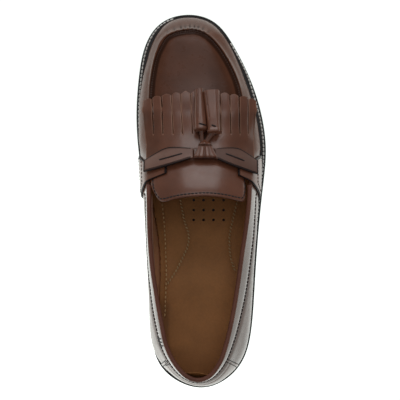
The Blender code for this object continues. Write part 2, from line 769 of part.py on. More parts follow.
def build_tassel(place):
    """Cap and skirt as one body; the skirt's strips are ribs fused to its core."""
    clear = GAP + 0.1 + FRINGE_LIFT + KILTIE + GAP
    rear = body_lift(place.rear_across, place.rear_along, clear + TASSEL_RADIUS)
    tip = body_lift(place.tip_across, place.tip_along, clear + place.skirt)
    length = float(np.linalg.norm(tip - rear))
    cap = TASSEL_CAP / length
    sides = TASSEL_STRIPS * 2
    smooth_ring = np.ones(sides)
    ribs = np.where(np.arange(sides) % 2 == 0, 1.0, 0.80)
    profile = (
        (0.0, smooth_ring * TASSEL_RADIUS * 0.62),
        (0.02, smooth_ring * TASSEL_RADIUS * 0.86),
        (0.06, smooth_ring * TASSEL_RADIUS * 0.96),
        (cap - 0.02, smooth_ring * TASSEL_RADIUS * 0.96),
        (cap, smooth_ring * TASSEL_RADIUS * 0.80),
        (cap + 0.05, ribs * TASSEL_RADIUS * 0.92),
        (0.65, ribs * (TASSEL_RADIUS + place.skirt) / 2.0),
        (1.0, ribs * place.skirt),
    )
    add_object("tassel_" + place.side, tube(rear, tip, profile), OVERLAY_BROWN)
    knot = body_lift(place.knot_across, KNOT_FRONT + THONG_CLEAR, 3.4)
    round_ring = np.full(8, THONG_RADIUS)
    behind = rear - (tip - rear) / length * THONG_END
    thong = tube(knot, behind, ((0.0, round_ring), (0.5, round_ring), (1.0, round_ring)), THONG_FLAT)
    add_object("tassel_thong_" + place.side, thong, OVERLAY_BROWN)


def clear_scene():
    for made in list(bpy.data.objects):
        bpy.data.objects.remove(made, do_unlink=True)


def build():
    clear_scene()
    build_outsole()
    build_heel()
    build_welt()
    build_insole()
    build_upper()
    build_binding()
    build_counter()
    build_tongue()
    build_kiltie()
    build_strap("saddle_strap_medial", STRAP_MEDIAL, -1, STRAP_END_MEDIAL)
    build_strap("saddle_strap_lateral", STRAP_LATERAL, 1, STRAP_END_LATERAL)
    build_wing("bow_wing_medial", WING_MEDIAL)
    build_wing("bow_wing_lateral", WING_LATERAL)
    build_bow_centre()
    build_knot()
    for place in TASSELS:
        build_tassel(place)


build()
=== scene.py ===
"""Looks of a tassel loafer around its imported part, laid out as a Blender add-on.

Tables are in millimetres in the shoe's own frame: +Y to the toe, +X to the lateral side, +Z up.
A ring runs round the shoe: turn 0 is the heel, turn 1 the toe, with the lateral side between.
"""

import json
import math
from collections import namedtuple
from contextlib import contextmanager

import bmesh
import bpy
import numpy as np
from bpy.props import FloatProperty, FloatVectorProperty, PointerProperty
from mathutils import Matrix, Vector
from mathutils.bvhtree import BVHTree
from mathutils.kdtree import KDTree

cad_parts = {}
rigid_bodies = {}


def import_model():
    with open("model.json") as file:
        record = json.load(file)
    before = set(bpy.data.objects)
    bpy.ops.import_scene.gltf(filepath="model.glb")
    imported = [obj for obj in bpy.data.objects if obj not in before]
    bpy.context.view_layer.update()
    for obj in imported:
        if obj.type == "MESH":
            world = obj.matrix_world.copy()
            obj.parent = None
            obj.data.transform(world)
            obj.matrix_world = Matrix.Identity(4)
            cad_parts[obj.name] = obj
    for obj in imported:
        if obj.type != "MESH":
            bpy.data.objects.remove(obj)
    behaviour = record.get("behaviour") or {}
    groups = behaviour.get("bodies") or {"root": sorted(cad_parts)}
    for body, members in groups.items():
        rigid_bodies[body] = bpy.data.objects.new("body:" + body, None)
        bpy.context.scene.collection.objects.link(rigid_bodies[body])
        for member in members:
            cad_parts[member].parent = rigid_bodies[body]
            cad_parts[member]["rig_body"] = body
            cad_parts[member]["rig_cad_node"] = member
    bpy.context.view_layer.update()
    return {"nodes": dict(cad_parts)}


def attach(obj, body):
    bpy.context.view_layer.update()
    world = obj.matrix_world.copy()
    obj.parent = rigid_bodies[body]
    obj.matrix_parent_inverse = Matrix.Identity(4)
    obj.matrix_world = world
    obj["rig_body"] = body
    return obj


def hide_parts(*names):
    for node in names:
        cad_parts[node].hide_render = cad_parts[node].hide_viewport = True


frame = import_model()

bl_info = {
    "name": "Tassel Loafer",
    "version": (1, 0, 0),
    "blender": (4, 5, 0),
    "location": "3D View > Sidebar > Loafer",
    "description": "Dresses a packed tassel loafer in leather, thread and rubber",
    "category": "Object",
}

MM = 0.001
SOLE_LENGTH = 303.0
BALL_WIDTH = 106.0
COLLAR_HEIGHT = 84.0
WELT_TOP = 15.0
LIFT_LINE = 6.0
RIB_PITCH = 6.0
RIB_DEPTH = 0.8
CUT_ANGLE = 65.0

# Sole outline: place as % of the length from the heel, half widths as % of the ball width
SoleRow = namedtuple("SoleRow", "along medial lateral")
SOLE = (
    SoleRow(0.0, 0.0, 0.0),
    SoleRow(1.9, 18.4, 17.2),
    SoleRow(7.1, 33.2, 31.6),
    SoleRow(15.3, 37.2, 38.2),
    SoleRow(26.9, 35.0, 40.8),
    SoleRow(39.4, 35.8, 43.4),
    SoleRow(53.0, 43.7, 47.5),
    SoleRow(63.5, 48.4, 50.1),
    SoleRow(74.4, 49.9, 45.8),
    SoleRow(84.0, 47.8, 36.4),
    SoleRow(92.1, 42.7, 24.3),
    SoleRow(97.5, 32.1, 12.5),
    SoleRow(100.0, 9.4, -9.4),
)

# Top line of the upper: collar at the rear, apron seam in front; height as % of the collar's height
TopRow = namedtuple("TopRow", "along medial lateral height")
TOP = (
    TopRow(4.0, 2.3, -2.3, 100.0),
    TopRow(5.6, 12.3, 7.4, 99.0),
    TopRow(11.1, 23.1, 15.5, 95.8),
    TopRow(17.7, 29.1, 21.5, 89.9),
    TopRow(27.9, 35.7, 27.9, 81.0),
    TopRow(39.8, 39.3, 33.4, 78.0),
    TopRow(53.0, 40.1, 37.3, 79.2),
    TopRow(63.5, 40.4, 35.8, 62.5),
    TopRow(74.4, 39.3, 32.0, 52.4),
    TopRow(82.7, 37.9, 26.5, 47.0),
    TopRow(89.9, 33.4, 15.6, 42.9),
    TopRow(93.7, 26.8, 5.8, 40.8),
    TopRow(95.4, 8.2, -8.2, 39.9),
)

# Toe gathers: where each pleat meets the seam across the shoe, and its depth
Gather = namedtuple("Gather", "across depth")
GATHERS = (
    Gather(-25.5, 0.30),
    Gather(-20.8, 0.45),
    Gather(-15.6, 0.60),
    Gather(-12.4, 0.55),
    Gather(-8.9, 0.65),
    Gather(-5.6, 0.55),
    Gather(-2.8, 0.55),
    Gather(0.6, 0.45),
    Gather(4.6, 0.30),
)

# Fringe strips from the medial side: rise of the tip, tilt of its lateral edge, spread
Strip = namedtuple("Strip", "rise tilt spread")
STRIPS = (
    Strip(-0.5, 0.9, 0.7),
    Strip(0.5, 0.3, 0.7),
    Strip(0.2, 0.2, 0.7),
    Strip(0.5, -0.4, 0.6),
    Strip(0.3, -0.4, 0.4),
    Strip(0.1, 0.0, 0.4),
    Strip(0.0, 0.0, 0.4),
    Strip(0.1, 0.2, 0.4),
    Strip(0.5, 0.5, 0.4),
    Strip(0.7, 0.6, 0.6),
    Strip(0.6, -0.7, 0.6),
    Strip(1.2, 1.0, 0.6),
)

# Cuts between the strips, across the shoe: at their roots and at the tips
FRINGE_CUTS = (
    (-44.0, -45.0), (-37.2, -38.6), (-29.6, -31.3), (-21.6, -23.3), (-14.6, -16.1), (-6.7, -8.3), (0.6, -0.7),
    (8.1, 7.0), (15.4, 14.6), (23.1, 22.1), (30.2, 29.2), (37.0, 37.1), (41.4, 42.4),
)
FRINGE_MEDIAL = -43.0
FRINGE_LATERAL = 41.5
FRINGE_ROOT = 52.0
FRINGE_TIP = 86.3
FRINGE_SPREAD = 1.03
FRINGE_BEND = 72.0

# Lines on the insole, in plan
ARCH_LINE = ((-31.6, -2.0), (-29.6, -20.7), (-28.7, -40.0), (-28.0, -58.6), (-28.6, -78.0), (-29.2, -94.0))
PAD_MEDIAL = (
    (-17.5, 4.0), (-13.8, -15.8), (-10.2, -27.1), (-10.6, -36.0),
    (-13.2, -42.5), (-19.6, -55.6), (-27.3, -67.5),
)
PAD_LATERAL = ((30.6, 4.0), (25.9, -14.4), (23.2, -27.1), (22.9, -37.0), (24.1, -47.3), (27.4, -57.0))
HOLE_ACROSS = (-6.0, 2.0, 10.0, 18.2)
HOLE_ALONG = (-15.8, -7.8, 0.2, 8.2, 16.2)
HOLE_RADIUS = 1.1

# Stitch lines seen from above, in plan
TONGUE_LINE = (
    (-38.0, 19.0), (-37.4, 11.0), (-35.4, 5.2), (-32.6, 2.0), (-29.2, 1.4), (-15.5, 4.4), (2.5, 5.9),
    (17.0, 4.8), (30.0, 2.1), (32.7, 2.6), (33.9, 5.6), (34.2, 11.0), (33.6, 19.0),
)
WING_SLITS = (
    ("wing_medial_leather", ((-31.6, 32.2), (-24.0, 34.2), (-16.2, 36.4))),
    ("wing_lateral_leather", ((20.6, 36.2), (26.6, 34.0), (32.8, 31.6))),
)
TASSEL_SLOTS = (
    ("tassel_medial_leather", ((-0.4, 59.9), (1.1, 59.5), (2.6, 59.1))),
    ("tassel_lateral_leather", ((9.1, 58.6), (9.8, 58.4), (10.5, 58.1))),
)

# Stitched box on each strap: side of the shoe, then corners by place along it and drop below the top line
STRAP_BOXES = (
    ("strap_lateral_leather", 1, (
        (32.0, 11.0), (13.5, 11.0), (8.0, 24.0), (7.0, 38.0), (32.5, 36.0), (33.5, 22.0), (32.0, 11.0))),
    ("strap_medial_leather", -1, (
        (32.0, 9.0), (14.0, 9.5), (8.0, 22.0), (6.0, 36.0), (33.0, 34.0), (34.0, 20.0), (32.0, 9.0))),
)

# Runs of the welt's stitches, tacks of the collar, rows and tacks of the counter, all by turn
WELT_RUNS = ((0.31, 0.875), (1.036, 1.69))
COLLAR_TACKS = (1.838, 1.847, 1.857)
COUNTER_ROWS = (0.1055, 0.0990)
CounterTack = namedtuple("CounterTack", "turn length")
COUNTER_TACKS = (CounterTack(-0.1022, 6.0), CounterTack(-0.0950, 10.0))

# Fullness of the rear walls by turn, from the heel round the lateral side and back
FULLNESS = (
    (0.0, 1.0), (0.05, 2.0), (0.1, 2.1), (0.15, 1.6), (0.25, 1.4), (0.42, 1.3), (0.5, 0.0),
    (1.7, 0.0), (1.85, 0.5), (1.92, 0.4), (2.0, 1.0),
)

# How far the front walls stand out from the solid: place along the shoe, medial, lateral
FRONT_WALL = (
    (35.0, 0.0, 0.0), (42.0, 0.3, 0.9), (50.0, 0.8, 0.8), (58.0, 0.5, 0.6), (66.0, 0.3, 0.5),
    (80.0, 0.5, -0.4), (94.0, 0.6, -1.0), (102.0, 0.6, -1.1), (114.0, -0.3, -0.8), (122.0, -0.6, -0.6),
    (130.0, -1.0, -0.6), (138.0, -1.3, -0.8), (145.0, -0.7, -0.6), (150.0, -0.3, -0.3),
)

# How far the heel's opening is rounded out beyond the top line: place along the shoe, medial, lateral
HEEL_ROUND = (
    (-140.0, 1.2, 1.2), (-135.0, 1.9, 1.9), (-131.0, 2.2, 2.3), (-122.0, 2.4, 3.0), (-110.0, 2.1, 2.4),
    (-98.0, 1.4, 1.8), (-85.0, 0.8, 1.3), (-70.0, 0.0, 0.8), (-50.0, 0.0, 0.2), (-40.0, 0.0, 0.0),
)

# Wings of the bow: darker dye, which on the lateral wing is painted shade, lost shine, and tilt of the front
# edge
Wing = namedtuple("Wing", "side dye dull tilt")
WINGS = (
    Wing("medial", 0.0, 0.0, -0.5),
    Wing("lateral", 0.42, 0.35, 0.3),
)

# Tassels: number of strips, half sizes of cap and skirt, and how the skirt twists, leans and flattens
Tassel = namedtuple("Tassel", "side strips cap width height twist lean square dye")
TASSELS = (
    Tassel("medial", 6, 5.0, 3.7, 4.2, 0.35, 0.5, 0.8, 0.1),
    Tassel("lateral", 7, 5.0, 6.5, 4.6, -0.25, -1.1, 0.5, 0.0),
)

# Thongs from the knot to the tassels: both ends, and the half width at each
Thong = namedtuple("Thong", "side rear tip rear_width tip_width")
THONGS = (
    Thong("medial", (0.9, 45.6, 67.2), (0.2, 55.0, 65.6), 1.2, 1.7),
    Thong("lateral", (3.9, 45.6, 67.2), (8.6, 54.0, 65.6), 1.4, 2.6),
)

# Threads, and dark rods that are painted shade in cuts and creases: a stitch's length, the pitch of the row,
# its width, its height and its slant in degrees
Thread = namedtuple("Thread", "length pitch width height slant", defaults=(0.0,))
WELT_THREAD = Thread(2.9, 3.2, 1.4, 1.15)
SEAM_THREAD = Thread(2.5, 2.9, 0.75, 0.5)
COLLAR_THREAD = Thread(2.75, 2.9, 0.8, 0.65)
LIP_THREAD = Thread(2.7, 2.9, 1.1, 0.5)
SOCK_THREAD = Thread(2.3, 3.5, 1.1, 0.6)
PAD_THREAD = Thread(2.6, 2.9, 1.25, 0.6, 35.0)
TACK_THREAD = Thread(2.6, 2.2, 1.0, 0.95)
CUT_SHADOW = Thread(4.0, 0.8, 1.5, 0.35)
CREASE_SHADOW = Thread(1.6, 0.6, 0.50, 0.16)
LINING_EDGE = Thread(3.0, 1.0, 1.1, 0.8)


class LoaferSizes(bpy.types.PropertyGroup):
    """Sizes of the small forms."""

    seam_ridge: FloatProperty(
        name="Seam ridge", description="Height of the lip along the apron seam", default=0.45 * MM,
        unit="LENGTH", subtype="DISTANCE")
    seam_band: FloatProperty(
        name="Seam band", description="Width of the dark band inside the apron seam", default=3.7 * MM,
        unit="LENGTH", subtype="DISTANCE")
    strip_crown: FloatProperty(
        name="Strip crown", description="How far a fringe strip's edges turn down", default=0.35 * MM,
        unit="LENGTH", subtype="DISTANCE")
    collar_drop: FloatProperty(
        name="Collar stitching", description="Drop of the collar's stitch line below the edge",
        default=9.3 * MM, unit="LENGTH", subtype="DISTANCE")
    welt_inset: FloatProperty(
        name="Welt stitching", description="Inset of the welt's stitches from the sole's edge",
        default=2.25 * MM, unit="LENGTH", subtype="DISTANCE")


class LoaferColours(bpy.types.PropertyGroup):
    """Dyes and threads, as linear colours."""

    upper: FloatVectorProperty(
        name="Upper", description="Dye of apron and quarters", default=(0.132, 0.051, 0.029),
        size=3, min=0.0, max=1.0, subtype="COLOR")
    overlay: FloatVectorProperty(
        name="Overlays", description="Dye of fringe, bow, straps, tongue and tassels",
        default=(0.166, 0.059, 0.031), size=3, min=0.0, max=1.0, subtype="COLOR")
    binding: FloatVectorProperty(
        name="Collar binding", description="Dye of the rolled collar edge", default=(0.152, 0.055, 0.035),
        size=3, min=0.0, max=1.0, subtype="COLOR")
    # The lining's dye is lighter than the leather itself, as painted light inside the shoe.
    lining: FloatVectorProperty(
        name="Lining", description="Dye of the lining leather", default=(0.560, 0.280, 0.145),
        size=3, min=0.0, max=1.0, subtype="COLOR")
    footbed: FloatVectorProperty(
        name="Insole", description="Colour of the insole's leather", default=(0.365, 0.162, 0.055),
        size=3, min=0.0, max=1.0, subtype="COLOR")
    raw_edge: FloatVectorProperty(
        name="Raw edge", description="Cut edge of the fringe strips", default=(0.280, 0.130, 0.080),
        size=3, min=0.0, max=1.0, subtype="COLOR")
    edge: FloatVectorProperty(
        name="Edge paint", description="Paint on cut leather edges", default=(0.016, 0.009, 0.009),
        size=3, min=0.0, max=1.0, subtype="COLOR")
    welt: FloatVectorProperty(
        name="Welt", description="Colour of the welt strip", default=(0.014, 0.011, 0.011),
        size=3, min=0.0, max=1.0, subtype="COLOR")
    rubber: FloatVectorProperty(
        name="Sole", description="Colour of outsole and heel", default=(0.010, 0.011, 0.013),
        size=3, min=0.0, max=1.0, subtype="COLOR")
    pale_thread: FloatVectorProperty(
        name="Welt thread", description="Thread of the welt", default=(0.80, 0.80, 0.76),
        size=3, min=0.0, max=1.0, subtype="COLOR")
    dark_thread: FloatVectorProperty(
        name="Upper thread", description="Thread of the upper's seams", default=(0.014, 0.009, 0.010),
        size=3, min=0.0, max=1.0, subtype="COLOR")
    tan_thread: FloatVectorProperty(
        name="Insole thread", description="Thread of insole and lining", default=(0.66, 0.45, 0.22),
        size=3, min=0.0, max=1.0, subtype="COLOR")


class LoaferStage(bpy.types.PropertyGroup):
    """Camera, floor and lights."""

    camera_height: FloatProperty(
        name="Camera height", description="Height of the camera above the floor", default=1.5,
        unit="LENGTH", subtype="DISTANCE")
    frame_width: FloatProperty(
        name="Frame width", description="Width of the picture at the floor", default=0.328,
        unit="LENGTH", subtype="DISTANCE")
    camera_across: FloatProperty(
        name="Camera across", description="Camera's place across the shoe", default=-0.9 * MM,
        unit="LENGTH", subtype="DISTANCE")
    camera_along: FloatProperty(
        name="Camera along", description="Camera's place along the shoe", default=0.33 * MM,
        unit="LENGTH", subtype="DISTANCE")
    floor_glow: FloatProperty(
        name="Floor glow", description="Light from the white table", default=1.06)
    side_glow: FloatProperty(
        name="Side glow", description="Gain of the table's glow beside the medial quarter", default=1.85)
    overhead: FloatProperty(
        name="Overhead light", description="Power of the light above", default=4.4, unit="POWER")
    front: FloatProperty(
        name="Front light", description="Power of the light beyond the toe", default=3.0, unit="POWER")
    air: FloatProperty(
        name="Room light", description="Level of the even light all round", default=0.2)


class RingCurve:
    """One column of a table as a smooth closed curve round the shoe (periodic cubic spline)."""

    def __init__(self, places, lateral, medial):
        self.knots = np.array(list(places) + [2.0 - place for place in reversed(places[1:-1])] + [2.0])
        values = list(lateral) + list(reversed(medial[1:-1])) + [lateral[0]]
        self.values = np.array(values, dtype=float)
        steps = np.diff(self.knots)
        slopes = np.diff(self.values) / steps
        count = len(steps)
        matrix = np.zeros((count, count))
        for row in range(count):
            matrix[row, row - 1] += steps[row - 1]
            matrix[row, row] += 2.0 * (steps[row - 1] + steps[row])
            matrix[row, (row + 1) % count] += steps[row]
        bends = np.linalg.solve(matrix, 6.0 * (slopes - np.roll(slopes, 1)))
        self.bends = np.append(bends, bends[0])

    def __call__(self, turn):
        turn = np.mod(turn, 2.0)
        span = np.clip(np.searchsorted(self.knots, turn, side="right") - 1, 0, len(self.knots) - 2)
        step = self.knots[span + 1] - self.knots[span]
        after = (turn - self.knots[span]) / step
        before = 1.0 - after
        curve = (before ** 3 - before) * self.bends[span] + (after ** 3 - after) * self.bends[span + 1]
        return before * self.values[span] + after * self.values[span + 1] + curve * step * step / 6.0


def length_at(percent):
    return (percent / 100.0 - 0.5) * SOLE_LENGTH


def width_at(percent):
    return percent / 100.0 * BALL_WIDTH


def ring_places(rows):
    """Share of the way from heel to toe of each row, by the mean of both sides."""
    places = [0.0]
    for low, high in zip(rows, rows[1:]):
        along = length_at(high.along) - length_at(low.along)
        medial = math.hypot(along, width_at(high.medial - low.medial))
        lateral = math.hypot(along, width_at(high.lateral - low.lateral))
        places.append(places[-1] + (medial + lateral) / 2.0)
    return [place / places[-1] for place in places]


PLACES = ring_places(SOLE)


def ring_plan(rows):
    """Curves of x and y round the shoe for a table with along, medial and lateral."""
    along = [length_at(row.along) for row in rows]
    lateral = [width_at(row.lateral) for row in rows]
    medial = [-width_at(row.medial) for row in rows]
    return RingCurve(PLACES, lateral, medial), RingCurve(PLACES, along, along)


SOLE_PLAN = ring_plan(SOLE)
TOP_PLAN = ring_plan(TOP)
TOP_X, TOP_Y = TOP_PLAN
TOP_HEIGHTS = [row.height * COLLAR_HEIGHT / 100.0 for row in TOP]
TOP_Z = RingCurve(PLACES, TOP_HEIGHTS, TOP_HEIGHTS)
SIDE_TURNS = np.linspace(0.0, 1.0, 400)
RING_TURNS = np.linspace(0.0, 2.0, 2400, endpoint=False)


def turn_at(along, side):
    """Turn where the top line passes a place along the shoe; side 1 is lateral, -1 medial."""
    turn = np.interp(along, TOP_Y(SIDE_TURNS), SIDE_TURNS)
    return turn if side > 0 else 2.0 - turn


def outward(plan, turn):
    """Level unit direction out of a plan curve at a turn."""
    across, along = plan
    step = 0.002
    run_x = across(turn + step) - across(turn - step)
    run_y = along(turn + step) - along(turn - step)
    size = np.hypot(run_x, run_y)
    return run_y / size, -run_x / size


def plan_line(plan, turns):
    """Points of a plan curve at turns, and the level directions out of it."""
    across, along = plan
    return np.stack([across(turns), along(turns)], axis=1), np.stack(outward(plan, turns), axis=1)


def smooth(share):
    share = np.clip(share, 0.0, 1.0)
    return share * share * (3.0 - 2.0 * share)


def bump(distance, width):
    return np.exp(-((distance / width) ** 2))


def curve_through(stations, count):
    """Smooth open curve through stations, as count points."""
    rows = np.array(stations, dtype=float)
    rows = np.vstack([2.0 * rows[0] - rows[1], rows, 2.0 * rows[-1] - rows[-2]])
    places = np.linspace(0.0, len(stations) - 1, count)
    span = np.minimum(places.astype(int), len(stations) - 2)
    after = (places - span)[:, None]
    first, second, third, fourth = (rows[span + step] for step in range(4))
    return 0.5 * (
        2.0 * second + (third - first) * after
        + (2.0 * first - 5.0 * second + 4.0 * third - fourth) * after ** 2
        + (3.0 * second - first - 3.0 * third + fourth) * after ** 3
    )


def drawn(count, *lines):
    """Smooth plan lines of count points, each with the name of the piece that carries it."""
    return [(name, curve_through(stations, count)) for name, stations in lines]


def distance_to(points, line):
    """Plan distance of each point to a line of points, and the nearest point's index."""
    tree = KDTree(len(line))
    for index, (x, y) in enumerate(line):
        tree.insert((x, y, 0.0), index)
    tree.balance()
    found = [tree.find((x, y, 0.0)) for x, y in points]
    return np.array([hit[2] for hit in found]), np.array([hit[1] for hit in found])


def pick(piece):
    """Make a piece the only selected and active one."""
    if bpy.context.object and bpy.context.object.mode != "OBJECT":
        bpy.ops.object.mode_set(mode="OBJECT")
    bpy.ops.object.select_all(action="DESELECT")
    piece.select_set(True)
    bpy.context.view_layer.objects.active = piece


@contextmanager
def editing(piece):
    """Edit mode with the whole of a piece selected."""
    pick(piece)
    bpy.ops.object.mode_set(mode="EDIT")
    bpy.ops.mesh.select_all(action="SELECT")
    yield
    bpy.ops.object.mode_set(mode="OBJECT")


def new_piece(name, add, **settings):
    """New piece from one of Blender's primitives, selected alone."""
    bpy.ops.object.select_all(action="DESELECT")
    add(**settings)
    piece = bpy.context.object
    piece.name = name
    piece.data.name = name
    return piece


def dress(piece, *made):
    """Materials of a piece, as named in FINISHES."""
    for name in made:
        piece.data.materials.append(FINISHES[name])


def copy_node(node, name, *made):
    """Editable copy of a solid, its loose triangles merged back to quads, in its materials."""
    pick(frame["nodes"][node])
    bpy.ops.object.duplicate()
    piece = bpy.context.object
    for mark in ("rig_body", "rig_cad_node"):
        del piece[mark]
    piece.name = name
    piece.data.name = name
    piece.data.materials.clear()
    dress(piece, *made)
    bpy.ops.mesh.customdata_custom_splitnormals_clear()
    with editing(piece):
        bpy.ops.mesh.remove_doubles(threshold=0.01 * MM)
        bpy.ops.mesh.tris_convert_to_quads(
            face_threshold=math.radians(60.0), shape_threshold=math.radians(120.0), topology_influence=1.0)
    return piece


def select_sharp(angle):
    bpy.ops.object.mode_set(mode="EDIT")
    bpy.ops.mesh.select_mode(type="EDGE")
    bpy.ops.mesh.select_all(action="DESELECT")
    bpy.ops.mesh.edges_select_sharp(sharpness=math.radians(angle))


def crease_sharp(piece, angle, crease):
    """Hold the sharp edges of a solid when it is rounded."""
    pick(piece)
    select_sharp(angle)
    bpy.ops.transform.edge_crease(value=crease)
    bpy.ops.object.mode_set(mode="OBJECT")


def paint_edges(piece, width):
    """Bevel the cut edges of a leather sheet and give bevel and rim the second material."""
    pick(piece)
    select_sharp(CUT_ANGLE)
    bpy.ops.mesh.bevel(
        offset=width, offset_type="OFFSET", segments=2, affect="EDGES", material=1, clamp_overlap=True)
    data = bmesh.from_edit_mesh(piece.data)
    left = {face for face in data.faces if face.material_index == 0}
    regions = []
    while left:
        stack = [left.pop()]
        region = []
        while stack:
            face = stack.pop()
            region.append(face)
            near = {other for edge in face.edges for other in edge.link_faces} & left
            left -= near
            stack.extend(near)
        regions.append(region)
    regions.sort(key=lambda region: sum(face.calc_area() for face in region))
    for region in regions[:-2]:
        for face in region:
            face.material_index = 1
    bmesh.update_edit_mesh(piece.data)
    bpy.ops.object.mode_set(mode="OBJECT")


def shade_edges(piece, reach, depth):
    """Darkening that fades from a sheet's painted edges: burnished leather, and painted shade along the
    edges.
    """
    rim = {index for face in piece.data.polygons if face.material_index == 1 for index in face.vertices}
    points = read_points(piece)
    tree = KDTree(len(rim))
    for index in rim:
        tree.insert(points[index], index)
    tree.balance()
    away = np.array([tree.find(point)[2] for point in points])
    return depth * smooth(1.0 - away / reach)


def apply_modifier(piece, kind, **settings):
    pick(piece)
    bpy.ops.object.modifier_add(type=kind)
    modifier = piece.modifiers[-1]
    for name, value in settings.items():
        setattr(modifier, name, value)
    bpy.ops.object.modifier_apply(modifier=modifier.name)


def round_off(piece, levels):
    """Subdivision surface, applied, with smooth shading."""
    apply_modifier(piece, "SUBSURF", levels=levels, render_levels=levels)
    bpy.ops.object.shade_smooth()


def read_points(piece):
    points = np.empty(len(piece.data.vertices) * 3)
    piece.data.vertices.foreach_get("co", points)
    return points.reshape(-1, 3) / MM


def read_normals(piece):
    normals = np.empty(len(piece.data.vertices) * 3)
    piece.data.vertices.foreach_get("normal", normals)
    return normals.reshape(-1, 3)


def face_along(piece, axis):
    """Turn a sheet over if its faces look against an axis."""
    if np.mean(read_normals(piece)[:, axis]) < 0.0:
        with editing(piece):
            bpy.ops.mesh.flip_normals()


def write_points(piece, points):
    piece.data.vertices.foreach_set("co", (points * MM).ravel())
    piece.data.update()


def write_shade(piece, shade, dull=None):
    """Painted shade and dark burnished dye at each point, and its lost shine, which is the same unless given.
    """
    for name, share in (("shade", shade), ("dull", shade if dull is None else dull)):
        layer = piece.data.attributes.new(name, "FLOAT", "POINT")
        layer.data.foreach_set("value", np.clip(share, 0.0, 1.0).astype(np.float32))


def finish(piece, slot, *nodes):
    """Body of a finished piece, and the solids it stands for, which are hidden. The slot is not used."""
    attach(piece, "root")
    if nodes:
        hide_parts(*nodes)
    return piece


class Carrier:
    """Surface of finished pieces that stitches and cuts are set on."""

    OUTSIDE = 40.0
    INSIDE = -16.0
    DEEP_INSIDE = -22.0
    ABOVE = 200.0

    def __init__(self, *names):
        self.name = " and ".join(names)
        points, faces = [], []
        for name in names:
            mesh = bpy.data.objects[name].data
            base = len(points)
            points.extend(vertex.co[:] for vertex in mesh.vertices)
            faces.extend([base + corner for corner in face.vertices] for face in mesh.polygons)
        self.tree = BVHTree.FromPolygons(points, faces)

    def cast(self, start, direction):
        place, normal, _, _ = self.tree.ray_cast(Vector(start) * MM, Vector(direction))
        if place is None:
            raise RuntimeError(f"nothing of {self.name} lies along {tuple(direction)} from {tuple(start)}")
        return np.array(place) / MM, np.array(normal)

    def from_above(self, plan):
        """Places and normals under the points of a plan line."""
        hits = [self.cast((x, y, self.ABOVE), (0.0, 0.0, -1.0)) for x, y in plan]
        return np.array([hit[0] for hit in hits]), np.array([hit[1] for hit in hits])

    def from_side(self, turns, drops, reach=OUTSIDE):
        """Places and normals on the wall at drops below the top line, seen from outside or inside."""
        hits = []
        for turn, drop in zip(turns, drops):
            out = np.array([*outward(TOP_PLAN, turn), 0.0])
            start = np.array([TOP_X(turn), TOP_Y(turn), TOP_Z(turn) - drop]) + out * reach
            hits.append(self.cast(start, -out * math.copysign(1.0, reach)))
        return np.array([hit[0] for hit in hits]), np.array([hit[1] for hit in hits])


def model_stitch():
    """One stitch as points and faces: a rounded rod along its third axis, one unit each way."""
    rod = new_piece("stitch", bpy.ops.mesh.primitive_uv_sphere_add, segments=8, ring_count=6, radius=0.5)
    points = read_points(rod) * MM
    faces = sorted(list(face.vertices) for face in rod.data.polygons)
    bpy.data.objects.remove(rod)
    points[:, 2] = np.sign(points[:, 2]) * 0.5 * (2.0 * np.abs(points[:, 2])) ** 0.7
    return points, faces


def lay_stitches(name, runs, thread, slot, made):
    """Joined mesh of stitches: one stitch copied along each run of places and normals."""
    rod, rod_faces = model_stitch()
    points = []
    faces = []
    for places, normals in runs:
        walked = np.concatenate([[0.0], np.cumsum(np.linalg.norm(np.diff(places, axis=0), axis=1))])
        count = max(1, int(walked[-1] // thread.pitch))
        for middle in (np.arange(count) + 0.5) * walked[-1] / count:
            at = [np.array([np.interp(middle + step, walked, places[:, axis]) for axis in range(3)])
                  for step in (-0.3, 0.0, 0.3)]
            up = np.array([np.interp(middle, walked, normals[:, axis]) for axis in range(3)])
            ahead = (at[2] - at[0]) / np.linalg.norm(at[2] - at[0])
            up -= ahead * (up @ ahead)
            up /= np.linalg.norm(up)
            side = np.cross(up, ahead)
            turned = math.radians(thread.slant)
            ahead, side = (ahead * math.cos(turned) + side * math.sin(turned),
                           side * math.cos(turned) - ahead * math.sin(turned))
            base = len(points) * len(rod)
            shape = rod * np.array([thread.width, thread.height * 2.0, thread.length])
            points.append(at[1] + shape @ np.stack([side, up, ahead]))
            faces.extend([base + corner for corner in face] for face in rod_faces)
    mesh = bpy.data.meshes.new(name)
    mesh.from_pydata((np.concatenate(points) * MM).tolist(), [], faces)
    piece = bpy.data.objects.new(name, mesh)
    bpy.context.scene.collection.objects.link(piece)
    with editing(piece):
        bpy.ops.mesh.normals_make_consistent(inside=False)
    bpy.ops.object.shade_smooth()
    dress(piece, made)
    return finish(piece, slot)


